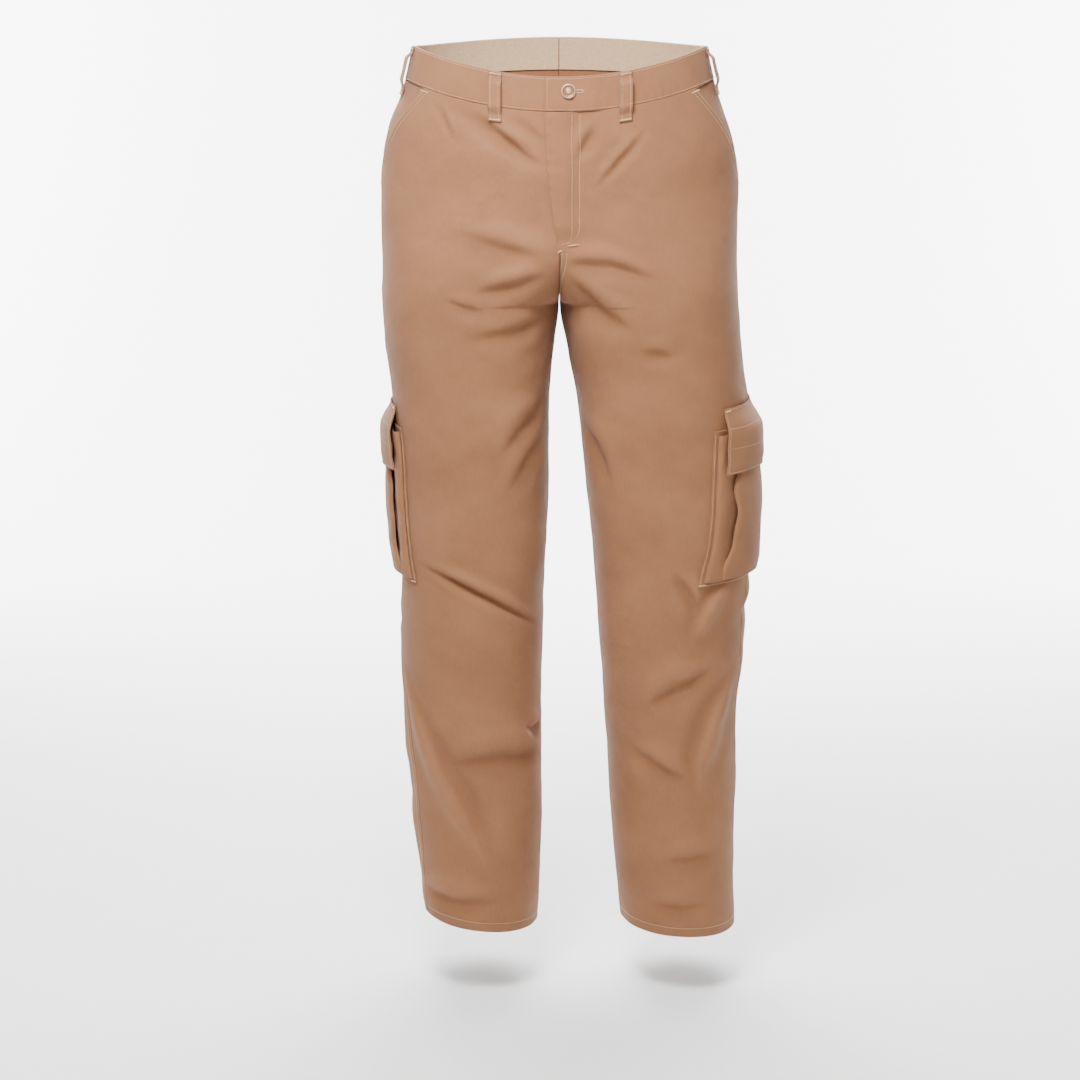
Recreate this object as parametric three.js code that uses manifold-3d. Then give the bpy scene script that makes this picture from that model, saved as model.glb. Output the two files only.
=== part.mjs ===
// Cargo work trousers in the shape they hold when worn, each cut piece of cloth a thin solid of its own.
// Millimetres. +Z is up, the wearer faces -Y and the wearer's left is +X.
// The origin is the centre of the waist opening, level with the waistband's top edge at the sides.
// A place on the garment is (side, q, drop): side +1 left or -1 right, q the share of the way round from the
// outseam (0) to the front centre or inseam (+1) or to the back centre or inseam (-1), drop the distance down.
// "Out" is a distance off the garment's outer surface, outwards if positive.
import * as THREE from "three";
import Module from "manifold-3d";
import { mergeVertices } from "three/addons/utils/BufferGeometryUtils.js";

// ---- Driving sizes ----
const CLOTH = 1.2; // a layer of twill with its seam bulk
const GAP = 0.35; // running gap between neighbouring pieces
const LAY_GAP = 0.95; // gap of a piece laid on or under another whose flats don't line up with its own
const BAND = { height: 38, thick: 1.5, lining: 1.1, lift: 3.6, liftEnd: 62 };
const UNDERLAP = 29; // how far the right half of the waistband runs on under the left
const FRONT_Y = 102.8; // the front's distance ahead of the origin, at the waist
const FRONT_LEAN = 0.0592; // how much further forward it is for each millimetre down
const FRONT_DIP = 36; // how far the front centre lies under the sides of the waist
const BACK_RISE = 12;
const DIP_FADE = 215; // drop where the waist's dip has died out
const FORK = 290; // drop of the crotch point
const FORK_Y = 12;
const FRONT_CURVE = 222; // drop where the front crotch curve starts
const BACK_CURVE = 150;
const SPLIT = 70; // how far above its crotch curve each face starts to part into two legs
const HEM = { 1: { drop: 1043, slope: -0.065 }, [-1]: { drop: 1036, slope: -0.11 } };
const HEM_FADE = 190; // length over which the hem's slant builds up

const LOOP = { half: 7.5, top: 1, below: 17, clear: 6.4, thick: 1.4, foot: 8, ramp: 5 };
const LOOPS = { front: 73, side: 24, back: -150 }; // front from the centre plane, the others from the outseam
const BUTTON = { radius: 8.2, thick: 2.6, rim: 1.6, x: 9, below: 16, shank: 1.3 };
const BUTTONHOLE = { left: 13, right: 14, half: 9.3, slot: 1.9, slotEnd: 12 };
const FLY = { edge: 17, foldTop: 30, bottom: 220, start: 10, facing: 22, fade: 60 };
const FLY_LIFT = { edge: 3.2, zip: 5.6, flat: 1.3, facing: 1 };
const ZIP = { x: -1, length: 112, top: 9, tape: 11, tapeThick: 0.6, pitch: 4, tooth: 1.3, half: 2.4, mesh: 0.9, thick: 2.8 };
const SLIDER = { width: 8.4, length: 11, plate: 1.2, web: 1.5, lug: 1.2 };
const TAB = { length: 14, width: 6, thick: 1.1 };
const SHIELD = { from: -27, to: 24, thick: 1.3, bottom: 216 };
const MOUTH = { across: 72, bottom: 160, facing: 22 }; // the slanted hand pocket's opening
const BAG = { inner: 140, outer: 6, bottom: 256, thick: 1.4 };
const BACK_POCKET = { from: 70, to: 204, top: 92, bottom: 220, point: 16 };
const CARGO = { front: 84, back: 82, top: 431, bottom: 606, edge: 8, bulge: 7.5, wall: 1.4, pleat: 3, slant: 10 };
const CARGO_FLAP = { inset: 8, top: 404, bottom: 479, thick: 1.8, step: 22 };
const TAPE = { top: 438, bottom: 463, thick: 1 }; // hook and loop tape of the cargo flap

// ---- Shape stations: [drop, value] pairs, joined by a smooth curve ----
const BACK_DEPTH = [
  [-20, 105], [0, 108], [38, 114], [96, 126], [150, 134], [195, 136], [290, 127],
  [408, 116], [527, 100], [648, 90], [770, 97], [894, 105], [1060, 102],
];
const MIDDLE = [[-20, 2], [150, 4], [290, 10], [408, 6], [527, 2], [648, 0], [770, 6], [894, 12], [1060, 14]];
const LEG_FRONT = [[200, 112], [290, 109], [408, 102], [527, 96], [648, 92], [770, 80], [894, 70], [1060, 70]];
const ROUNDNESS = [[-20, 2.25], [200, 2.3], [290, 2.7], [408, 2.4], [648, 2.2], [1060, 2.1]];
const HIP_OUTER = [[-20, 164], [0, 168], [38, 177], [62, 185], [96, 197], [130, 204], [160, 206], [200, 206]];
const OUTER = {
  1: [
    ...HIP_OUTER, [290, 208], [338, 213], [408, 219], [467, 222], [560, 224],
    [648, 223], [709, 219], [770, 214], [894, 213], [1060, 213],
  ],
  [-1]: [
    ...HIP_OUTER, [290, 206], [338, 203], [408, 195], [503, 190], [611, 187],
    [709, 188], [800, 185], [894, 178], [957, 172], [1060, 160],
  ],
};
const INNER = {
  1: [[140, 0.3], [290, 0.3], [349, 10], [408, 21], [527, 34], [648, 45], [770, 54], [894, 62], [1060, 77]],
  [-1]: [[140, 0.3], [290, 0.3], [349, 7], [408, 11], [527, 13], [648, 18], [770, 21], [894, 20], [1060, 27]],
};
const SEAM_TURN = { // degrees the outseam has crept towards the front
  1: [[-20, 0], [290, 0], [408, 8], [560, 12], [648, 22], [770, 18], [1060, 5]],
  [-1]: [[-20, 0], [290, 0], [408, -8], [560, -12], [700, 8], [800, 28], [900, 32], [1060, 20]],
};

// ---- Small mathematics ----
const V = (x, y, z) => new THREE.Vector3(x, y, z);
const { lerp, clamp, smoothstep: smooth, degToRad } = THREE.MathUtils;
const steps = (from, to, count) => Array.from({ length: count + 1 }, (_, i) => lerp(from, to, i / count));
const power = (v, p) => Math.sign(v) * Math.abs(v) ** (2 / p);

// The value of a station table at a drop: a cubic that never runs past the stations it joins.
function station(table, drop) {
  const last = table.length - 1;
  let i = 0;
  while (i < last - 1 && drop > table[i + 1][0]) i += 1;
  const secant = (a) => (a < 0 || a >= last ? 0 : (table[a + 1][1] - table[a][1]) / (table[a + 1][0] - table[a][0]));
  const slope = (a, b) => (a * b > 0 ? (2 * a * b) / (a + b) : 0);
  const [from, low] = table[i];
  const [to, high] = table[i + 1];
  const t = clamp((drop - from) / (to - from), 0, 1);
  const m0 = i > 0 ? slope(secant(i - 1), secant(i)) : secant(i);
  const m1 = i < last - 1 ? slope(secant(i), secant(i + 1)) : secant(i);
  const bend = (to - from) * (m0 * t * (1 - t) ** 2 - m1 * (1 - t) * t * t);
  return lerp(low, high, t * t * (3 - 2 * t)) + bend;
}

// ---- The garment's outer surface ----
// How far a row's end has gone in along the crotch curve, from the centre line (0) to the fork (1).
function forkShare(face, drop) {
  const start = face > 0 ? FRONT_CURVE : BACK_CURVE;
  const t = clamp((drop - start) / (FORK - start), 0, 1);
  return 1 - Math.sqrt(1 - t * t);
}

// The furthest y of the front (face +1) or the back.
function faceY(face, low) {
  if (face < 0) return station(BACK_DEPTH, low);
  const straight = -FRONT_Y - FRONT_LEAN * low;
  return lerp(straight, -station(LEG_FRONT, low), smooth(low, FRONT_CURVE, FORK + 60));
}

// How far below its drop a point lies, because the waist dips in front and rises behind.
function waistShift(face, q, drop) {
  const dip = 1 - Math.cos((q * Math.PI) / 2) ** 1.7;
  return (face > 0 ? FRONT_DIP * dip : -BACK_RISE * dip) * (1 - smooth(drop, BAND.height, DIP_FADE));
}

// A row is two quarter rounds: from the outseam to the face's furthest line, then in to the centre line, the
// crotch curve or the inseam.
function sectionPoint(side, face, drop, q) {
  const low = drop + waistShift(face, q, drop);
  const p = station(ROUNDNESS, low);
  const outer = station(OUTER[side], low);
  const inner = station(INNER[side], low);
  const middle = station(MIDDLE, low);
  const turn = drop < FORK ? 0 : face * station(SEAM_TURN[side], low);
  const half = (outer - inner) / 2;
  const start = (face > 0 ? FRONT_CURVE : BACK_CURVE) - SPLIT;
  const crown = (inner + half) * smooth(drop, start, FORK);
  const share = forkShare(face, drop);
  const far = faceY(face, low);
  const endX = inner * share;
  const endY = lerp(far, lerp(FORK_Y, middle, smooth(drop, FORK, FORK + 160)), share);
  const outerLength = outer - crown + Math.abs(far - middle);
  const innerLength = crown - endX + Math.abs(far - endY);
  const bend = outerLength / (outerLength + innerLength);
  let x;
  let y;
  if (q < bend) {
    const angle = degToRad(lerp(turn, 90, q / bend));
    const depth = faceY(angle >= 0 ? face : -face, low) - middle;
    x = crown + (outer - crown) * power(Math.cos(angle), p);
    y = middle + depth * power(Math.abs(Math.sin(angle)), p);
  } else {
    const angle = ((q - bend) / (1 - bend || 1)) * (Math.PI / 2);
    x = crown - (crown - endX) * power(Math.sin(angle), p);
    y = endY + (far - endY) * power(Math.cos(angle), p);
  }
  const hem = HEM[side];
  const slant = side * (x - inner - half) * hem.slope * smooth(drop, hem.drop - HEM_FADE, hem.drop);
  return V(side * x, y, slant - low);
}

// One row of a panel, outseam to centre or inseam, as a fine polyline with its running length.
const ROW_STEPS = 72;
const rows = new Map();
function row(side, face, drop) {
  const key = `${side} ${face} ${drop.toFixed(3)}`;
  if (!rows.has(key)) {
    const points = steps(0, 1, ROW_STEPS).map((q) => sectionPoint(side, face, drop, q));
    const run = [0];
    for (let i = 1; i <= ROW_STEPS; i += 1) run.push(run[i - 1] + points[i].distanceTo(points[i - 1]));
    rows.set(key, { points, run, length: run[ROW_STEPS] });
  }
  return rows.get(key);
}

const faceOf = (q) => (q < 0 ? -1 : 1);
const around = (side, drop, mm) => mm / row(side, faceOf(mm), drop).length; // q, mm from the outseam
const fromEnd = (side, face, drop, mm) => 1 - mm / row(side, face, drop).length; // q, mm short of the row's end

// A bare point of the surface. Past a row's end (q over 1 or under -1) it runs on over the other side of the
// garment, or round the inseam of the same leg.
function bare(side, q, drop) {
  const past = Math.sign(q) * (2 - Math.abs(q));
  if (Math.abs(q) > 1) return drop < FORK ? bare(-side, past, drop) : bare(side, -past, drop);
  const { points, run, length } = row(side, faceOf(q), drop);
  const at = Math.abs(q) * length;
  let i = 1;
  while (i < ROW_STEPS && run[i] < at) i += 1;
  return points[i - 1].clone().lerp(points[i], (at - run[i - 1]) / (run[i] - run[i - 1]));
}

// A point a given distance off the surface.
function skin(side, q, drop, out = 0) {
  const point = bare(side, q, drop);
  if (out === 0) return point;
  const along = bare(side, q + 0.02, drop).sub(bare(side, q - 0.02, drop));
  const fall = bare(side, q, drop + 2).sub(bare(side, q, drop - 2));
  const normal = along.cross(fall).multiplyScalar(side).normalize();
  return point.addScaledVector(normal, out);
}

// The q on the front where the surface is a given distance from the centre plane.
function frontQ(side, drop, x) {
  let low = 0.4;
  let high = 1.2;
  for (let i = 0; i < 24; i += 1) {
    const mid = (low + high) / 2;
    if (side * (bare(side, mid, drop).x - x) > 0) low = mid;
    else high = mid;
  }
  return (low + high) / 2;
}

// ---- Solids ----
// A closed thin solid between a grid of outer points and the same grid of inner points.
function gridSolid(outer, inner) {
  const high = outer.length;
  const wide = outer[0].length;
  const at = (layer, i, j) => layer * high * wide + i * wide + j;
  const position = [outer, inner].flat(2).flatMap((p) => p.toArray());
  const index = [];
  const quad = (a, b, c, d) => index.push(a, b, c, a, c, d);
  for (let i = 0; i < high - 1; i += 1) {
    for (let j = 0; j < wide - 1; j += 1) {
      quad(at(0, i, j), at(0, i, j + 1), at(0, i + 1, j + 1), at(0, i + 1, j));
      quad(at(1, i, j), at(1, i + 1, j), at(1, i + 1, j + 1), at(1, i, j + 1));
    }
    quad(at(0, i, 0), at(0, i + 1, 0), at(1, i + 1, 0), at(1, i, 0));
    quad(at(0, i, wide - 1), at(1, i, wide - 1), at(1, i + 1, wide - 1), at(0, i + 1, wide - 1));
  }
  for (let j = 0; j < wide - 1; j += 1) {
    quad(at(0, 0, j), at(1, 0, j), at(1, 0, j + 1), at(0, 0, j + 1));
    quad(at(0, high - 1, j), at(0, high - 1, j + 1), at(1, high - 1, j + 1), at(1, high - 1, j));
  }
  const geometry = new THREE.BufferGeometry();
  geometry.setAttribute("position", new THREE.Float32BufferAttribute(position, 3));
  if (signedVolume(position, index) < 0) index.reverse();
  geometry.setIndex(index);
  geometry.computeVertexNormals();
  return geometry;
}

function signedVolume(position, index) {
  const p = (i) => V(position[3 * i], position[3 * i + 1], position[3 * i + 2]);
  let sum = 0;
  for (let i = 0; i < index.length; i += 3) {
    sum += p(index[i]).dot(p(index[i + 1]).cross(p(index[i + 2])));
  }
  return sum;
}

// A cloth piece on the surface: rows at the drops, each from q start(drop) to end(drop), its outer face off the
// surface by out(point, drop).
function clothPiece({ side, drops, columns, start, end, out = () => 0, thick = CLOTH, hem = false }) {
  const layer = (depth) => drops.map((drop) => steps(start(drop), end(drop), columns).map((q) => (
    skin(side, q, drop, out(bare(side, q, drop), drop) - depth)
  )));
  const outer = layer(0);
  const inner = layer(thick);
  if (hem) layHem(side, inner.at(-1));
  if (hem) layHem(side, outer.at(-1));
  return gridSolid(outer, inner);
}

// A cloth piece at distances round from the outseam, ahead of it if positive: its outer face off the surface by
// out(mm, drop) and each column shifted down by slant(mm).
function outseamPiece({ side, drops, columns, out, thick, slant }) {
  const layer = (depth) => drops.map((drop) => columns.map((mm) => (
    skin(side, around(side, drop, mm), drop + slant(mm), out(mm, drop) - depth)
  )));
  return gridSolid(layer(0), layer(thick));
}

// Puts a leg's last row of points on the plane of its hem.
function layHem(side, points) {
  const { drop, slope } = HEM[side];
  const centre = (side * (station(OUTER[side], drop) + station(INNER[side], drop))) / 2;
  for (const p of points) p.z = slope * (p.x - centre) - drop;
}

// A flat plate parallel to the front, its outline in x and z, between two distances out.
function plate(shape, from, to) {
  const geometry = new THREE.ExtrudeGeometry(shape, { depth: to - from, bevelEnabled: false, curveSegments: 10 });
  return geometry.rotateX(Math.PI / 2).translate(0, -from, 0);
}

const outline = (points) => new THREE.Shape(points.map(([x, z]) => new THREE.Vector2(x, z)));
const box = (x0, x1, z0, z1) => outline([[x0, z0], [x1, z0], [x1, z1], [x0, z1]]);

const wasm = await Module();
wasm.setup();

function toManifold(geometry) {
  const bareGeometry = geometry.clone();
  bareGeometry.deleteAttribute("normal");
  bareGeometry.deleteAttribute("uv");
  const merged = mergeVertices(bareGeometry, 1e-4);
  const mesh = new wasm.Mesh({
    numProp: 3,
    vertProperties: Float32Array.from(merged.attributes.position.array),
    triVerts: Uint32Array.from(merged.index.array),
  });
  return new wasm.Manifold(mesh);
}

function join(...geometries) {
  const mesh = geometries.map(toManifold).reduce((a, b) => a.add(b)).getMesh();
  const geometry = new THREE.BufferGeometry();
  geometry.setAttribute("position", new THREE.BufferAttribute(mesh.vertProperties, 3));
  geometry.setIndex(new THREE.BufferAttribute(mesh.triVerts, 1));
  geometry.computeVertexNormals();
  return geometry;
}

// ---- Materials ----
const finish = (color, roughness, metalness = 0) => new THREE.MeshStandardMaterial({ color, roughness, metalness });
const TWILL = finish(0xb98a68, 0.85);
const POCKETING = finish(0xd9c9ae, 0.9);
const TAPE_CLOTH = finish(0xa97d5c, 0.85);
const BRASS = finish(0xb08d4a, 0.35, 1);
const BUTTON_FINISH = finish(0xc8a27c, 0.4);
const THREAD = finish(0xe0bf94, 0.7);
const HOOK_TAPE = finish(0xa9835f, 0.95);

const garment = new THREE.Group();
const front = new THREE.Group(); // its x-z plane is the plane of the fly
front.position.y = -FRONT_Y;
front.rotation.x = -Math.atan(FRONT_LEAN);
garment.add(front);

function add(name, geometry, material, group = garment) {
  const mesh = new THREE.Mesh(geometry, material);
  mesh.name = name;
  group.add(mesh);
}

const sideName = (side) => (side > 0 ? "left" : "right");

// ---- The fly's lines ----
const SEAM = BAND.height + GAP; // drop of the waist seam's lower side
const BAND_Z = -FRONT_DIP - BAND.height; // height of the waist seam at the front centre
const centreZ = (drop) => bare(1, 1, drop).z;

// The line that the overlap folds on, rising from the fly's foot to the waistband.
const foldX = (z) => FLY.foldTop * clamp((z + FLY.bottom) / (FLY.bottom - FRONT_DIP), 0, 1);
// The free edge of the overlap, and the edge of the right front that the zip is sewn to.
const overlapX = (z) => -FLY.edge * smooth(z, -FLY.bottom - 4, -FLY.bottom + 150) ** 0.55;
const zipEdgeX = (z) => (ZIP.x - ZIP.half - 4) * smooth(z, -FLY.bottom, -FLY.bottom + 24);

// How far the left front stands off the surface to pass over the zip.
function overlapLift(x, z) {
  const overRight = lerp(FLY_LIFT.edge, FLY_LIFT.zip, smooth(x, -13, ZIP.x - 4.4));
  const lift = lerp(overRight, FLY_LIFT.flat, smooth(x, 3.5, FLY.facing));
  return lift * (1 - smooth(x, FLY.facing, FLY.fade)) * smooth(z, -FLY.bottom, -FLY.bottom + 22);
}

// ---- Leg panels ----
const curveRows = (start) => [0.25, 0.38, 0.5, 0.72, 0.88, 0.97, 1].map((t) => lerp(start, FORK, t));
const legRows = (side) => [FORK + 20, FORK + 60, ...steps(FORK + 110, HEM[side].drop, 12)];
const frontRows = (side) => [
  SEAM, 50, 66, 86, 110, 135, MOUTH.bottom, 185, 204, FRONT_CURVE, ...curveRows(FRONT_CURVE), ...legRows(side),
];
const backRows = (side) => [SEAM, 60, 84, 116, BACK_CURVE, ...curveRows(BACK_CURVE), ...legRows(side)];
const COLUMNS = 11;

const mouthAt = (drop) => MOUTH.across * clamp((MOUTH.bottom - drop) / (MOUTH.bottom - SEAM), 0, 1);

function frontPanel(side) {
  const start = (drop) => around(side, drop, mouthAt(drop) + GAP / 2);
  const end = (drop) => {
    const x = side > 0 ? foldX(centreZ(drop)) + GAP : zipEdgeX(centreZ(drop)) - GAP / 2;
    return drop < FRONT_CURVE ? frontQ(side, drop, x) : fromEnd(side, 1, drop, GAP / 2);
  };
  const out = (point) => (side > 0 ? overlapLift(point.x, point.z) : 0);
  const geometry = clothPiece({ side, drops: frontRows(side), columns: COLUMNS, start, end, out, hem: true });
  add(`front_panel_${sideName(side)}`, geometry, TWILL);
}

function backPanel(side) {
  const start = (drop) => around(side, drop, -GAP / 2);
  const end = (drop) => -fromEnd(side, -1, drop, GAP / 2);
  const geometry = clothPiece({ side, drops: backRows(side), columns: COLUMNS, start, end, hem: true });
  add(`back_panel_${sideName(side)}`, geometry, TWILL);
}

// ---- Waistband ----
const bandRows = steps(0, BAND.height, 2);

function waistband(side, name, sink, thick, material) {
  const end = (drop) => frontQ(side, drop, side > 0 ? foldX(centreZ(drop)) + GAP : UNDERLAP);
  const start = (drop) => -fromEnd(side, -1, drop, GAP / 2);
  const out = (point) => {
    const lifted = side > 0 && point.y < 0 ? BAND.lift * (1 - smooth(point.x, FLY.foldTop, BAND.liftEnd)) : 0;
    return lifted - sink;
  };
  const geometry = clothPiece({ side, drops: bandRows, columns: 30, start, end, out, thick });
  add(`${name}_${sideName(side)}`, geometry, material);
}

// The left end of the waistband, over the underlap: cloth, lining and the buttonhole's stitched patch.
const BUTTON_Z = -FRONT_DIP - BUTTON.below;
const END_OUT = 0.6;
const END_THICK = BAND.thick + GAP + BAND.lining;

function bandEnd(grow) {
  const edge = (x, drop) => [x, bare(1, frontQ(1, drop, x), drop).z];
  const right = (drop) => edge(foldX(centreZ(drop)) - GAP, drop);
  const left = -FLY.edge + grow;
  const shape = outline([edge(left, BAND.height), right(BAND.height), right(0), edge(12, 0), edge(left, 0)]);
  const reach = GAP + 0.01;
  const window = box(
    BUTTON.x - BUTTONHOLE.left - reach, BUTTON.x + BUTTONHOLE.right + reach,
    BUTTON_Z - BUTTONHOLE.half - reach, BUTTON_Z + BUTTONHOLE.half + reach,
  );
  shape.holes.push(window);
  return shape;
}

function waistbandEnd() {
  add("waistband_end_lining", plate(bandEnd(1), END_OUT, END_OUT + BAND.lining), POCKETING, front);
  add("waistband_end_left", plate(bandEnd(0), END_OUT + BAND.lining + GAP, END_OUT + END_THICK), TWILL, front);
  const patch = box(
    BUTTON.x - BUTTONHOLE.left, BUTTON.x + BUTTONHOLE.right,
    BUTTON_Z - BUTTONHOLE.half, BUTTON_Z + BUTTONHOLE.half,
  );
  const slot = BUTTONHOLE.slot;
  patch.holes.push(box(BUTTON.x - slot, BUTTON.x + BUTTONHOLE.slotEnd, BUTTON_Z - slot, BUTTON_Z + slot));
  add("waist_buttonhole", plate(patch, END_OUT, END_OUT + END_THICK), TWILL, front);
}

function waistButton() {
  const seat = END_OUT + END_THICK + GAP;
  const { radius, thick, rim, shank } = BUTTON;
  const profile = [[0, 0], [radius - 0.8, 0], [radius, 0.8], [radius, thick - 0.5], [radius - 0.5, thick],
    [radius - rim, thick], [radius - rim - 0.7, thick - 0.9], [0, thick - 0.9]];
  const disc = new THREE.LatheGeometry(profile.map(([x, y]) => new THREE.Vector2(x, y)), 28);
  const stem = new THREE.CylinderGeometry(shank, shank, seat - 2 * GAP, 12);
  const place = (geometry, out) => geometry.rotateX(Math.PI).translate(BUTTON.x, -out, BUTTON_Z);
  add("waist_button", place(disc, seat), BUTTON_FINISH, front);
  add("button_thread_shank", place(stem, seat / 2), THREAD, front);
}

// ---- Fly and zip ----
function flyOverlap() {
  const drops = [SEAM, 48, 62, 80, 100, 122, 144, 164, 182, 196, FLY.bottom - FLY.start];
  const start = (drop) => frontQ(1, drop, foldX(centreZ(drop)) - GAP);
  const end = (drop) => frontQ(1, drop, overlapX(centreZ(drop)));
  const lift = (sink) => (point) => overlapLift(point.x, point.z) - sink;
  const cloth = clothPiece({ side: 1, drops, columns: 6, start, end, out: lift(0) });
  const sink = CLOTH + GAP;
  const lower = [SEAM + 1.2, ...drops.slice(1)];
  const facing = clothPiece({ side: 1, drops: lower, columns: 6, start, end, out: lift(sink), thick: FLY_LIFT.facing });
  add("fly_overlap_left", cloth, TWILL);
  add("fly_facing_left", facing, POCKETING);
}

function flyShield() {
  const drops = [SEAM, SEAM + 5, 60, 90, 120, 150, 180, SHIELD.bottom];
  const start = (drop) => frontQ(-1, drop, SHIELD.from);
  const end = (drop) => frontQ(-1, drop, SHIELD.to);
  const behindPanel = -CLOTH - GAP;
  const behindZip = SLIDER_OUT.back - GAP;
  const out = ({ x }, drop) => lerp(behindPanel, behindZip, smooth(x, -19, -9) * smooth(drop, SEAM - 2, SEAM + 4));
  add("fly_shield", clothPiece({ side: -1, drops, columns: 9, start, end, out, thick: SHIELD.thick }), TWILL);
}

const ZIP_OUT = -CLOTH - GAP - ZIP.tapeThick / 2; // the zip's mid-plane
const ZIP_TOP = BAND_Z - ZIP.top;
const ZIP_BOTTOM = ZIP_TOP - ZIP.length;
const SLIDER_OUT = {
  front: ZIP_OUT + ZIP.thick / 2 + GAP + SLIDER.plate,
  back: ZIP_OUT - ZIP.thick / 2 - GAP - SLIDER.plate,
};

// One side's teeth: a bead along the tape's edge with a tooth at every pitch, set half a pitch apart left to right.
function zipTeeth(side) {
  const points = [];
  const bead = ZIP.x + side * ZIP.mesh;
  const tip = ZIP.x - side * (ZIP.mesh - GAP / 2);
  const first = ZIP_TOP - (side > 0 ? 0 : ZIP.pitch / 2) - ZIP.tooth;
  points.push([ZIP.x + side * ZIP.half, ZIP_BOTTOM], [ZIP.x + side * ZIP.half, ZIP_TOP], [bead, ZIP_TOP]);
  for (let z = first; z > ZIP_BOTTOM + ZIP.tooth; z -= ZIP.pitch) {
    points.push([bead, z], [tip, z], [tip, z - ZIP.tooth], [bead, z - ZIP.tooth]);
  }
  points.push([bead, ZIP_BOTTOM]);
  const half = ZIP.thick / 2;
  add(`zip_teeth_${sideName(side)}`, plate(outline(points), ZIP_OUT - half, ZIP_OUT + half), BRASS, front);
}

function zipTape(side) {
  const near = ZIP.x + side * (ZIP.half + GAP);
  const far = near + side * ZIP.tape;
  const shape = box(Math.min(near, far), Math.max(near, far), ZIP_BOTTOM - 8, BAND_Z - GAP - 1);
  const half = ZIP.tapeThick / 2;
  add(`zip_tape_${sideName(side)}`, plate(shape, ZIP_OUT - half, ZIP_OUT + half), TAPE_CLOTH, front);
}

function zipFittings() {
  const { width, length, plate: thick, web, lug } = SLIDER;
  const top = ZIP_TOP + GAP + web;
  const leaf = (from) => plate(box(ZIP.x - width / 2, ZIP.x + width / 2, top - length, top), from, from + thick);
  const wedge = plate(box(ZIP.x - web / 2, ZIP.x + web / 2, top - web, top), SLIDER_OUT.back, SLIDER_OUT.front);
  const lugZ = top - 4;
  const stem = new THREE.CylinderGeometry(lug, lug, 2 * (TAB.thick + GAP), 12);
  stem.translate(ZIP.x, -SLIDER_OUT.front, lugZ);
  add("zip_slider", join(leaf(SLIDER_OUT.back), leaf(SLIDER_OUT.front - thick), wedge, stem), BRASS, front);
  const tab = outline([
    [ZIP.x - TAB.width / 2, lugZ - TAB.length], [ZIP.x + TAB.width / 2, lugZ - TAB.length],
    [ZIP.x + TAB.width / 2, lugZ + 1.5], [ZIP.x + 1.5, lugZ + 3], [ZIP.x - 1.5, lugZ + 3],
    [ZIP.x - TAB.width / 2, lugZ + 1.5],
  ]);
  const eye = new THREE.Path().absarc(ZIP.x, lugZ, lug + GAP, 0, 2 * Math.PI, true);
  tab.holes.push(eye);
  add("zip_pull_tab", plate(tab, SLIDER_OUT.front + GAP, SLIDER_OUT.front + GAP + TAB.thick), BRASS, front);
  const stop = box(ZIP.x - ZIP.half, ZIP.x + ZIP.half, ZIP_BOTTOM - GAP - 3, ZIP_BOTTOM - GAP);
  add("zip_bottom_stop", plate(stop, ZIP_OUT - ZIP.thick / 2, ZIP_OUT + ZIP.thick / 2), BRASS, front);
}

// ---- Belt loops ----
function beltLoop(name, side, centre) {
  const bottom = BAND.height + LOOP.below;
  const lowFoot = bottom - LOOP.foot;
  const highFoot = LOOP.top + LOOP.foot;
  const drops = [LOOP.top, highFoot, highFoot + LOOP.ramp, 26, lowFoot - LOOP.ramp, lowFoot, bottom];
  const reach = (drop) => LOOP.half / row(side, faceOf(centre(drop)), drop).length;
  const raised = (drop) => smooth(drop, highFoot, highFoot + LOOP.ramp) * (1 - smooth(drop, lowFoot - LOOP.ramp, lowFoot));
  const out = (point, drop) => LOOP.thick + lerp(GAP, LOOP.clear, raised(drop));
  const start = (drop) => centre(drop) - reach(drop);
  const end = (drop) => centre(drop) + reach(drop);
  add(name, clothPiece({ side, drops, columns: 2, start, end, out, thick: LOOP.thick }), TWILL);
}

// ---- Pockets ----
function handPocket(side) {
  const drops = [SEAM, 62, 86, 110, 135, MOUTH.bottom, MOUTH.bottom + 14];
  const facing = {
    side, drops, columns: 6, thick: 1,
    start: (drop) => around(side, drop, GAP),
    end: (drop) => around(side, drop, mouthAt(drop) + MOUTH.facing),
    out: () => -CLOTH - LAY_GAP,
  };
  add(`hand_pocket_facing_${sideName(side)}`, clothPiece(facing), TWILL);
  const bag = {
    side, columns: 8, thick: BAG.thick,
    drops: [...drops, 200, 228, BAG.bottom],
    start: (drop) => around(side, drop, BAG.outer),
    end: (drop) => around(side, drop, BAG.inner),
    out: () => -CLOTH - LAY_GAP - 1 - GAP,
  };
  add(`hand_pocket_bag_${sideName(side)}`, clothPiece(bag), POCKETING);
}

function backPocket(side) {
  const { from, to, top, bottom, point } = BACK_POCKET;
  const drops = [...steps(top, bottom - point, 6), bottom - point / 2, bottom];
  const narrow = (drop) => 44 * clamp((drop - bottom + point) / point, 0, 1);
  const start = (drop) => around(side, drop, -from - narrow(drop));
  const end = (drop) => around(side, drop, -to + narrow(drop));
  const geometry = clothPiece({ side, drops, columns: 10, start, end, out: () => LAY_GAP + CLOTH });
  add(`back_pocket_${sideName(side)}`, geometry, TWILL);
}

const CARGO_WIDTH = CARGO.front + CARGO.back;
const CARGO_COLUMNS = steps(-CARGO.back, CARGO.front, 10);
const FLAP_FULL = CARGO_FLAP.top + CARGO_FLAP.step; // drop where the flap has come out over the pocket's mouth
const TAPE_ROWS = steps(TAPE.top, TAPE.bottom, 2);
const cargoSlant = (mm) => CARGO.slant * ((mm + CARGO.back) / CARGO_WIDTH - 0.5);

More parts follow.
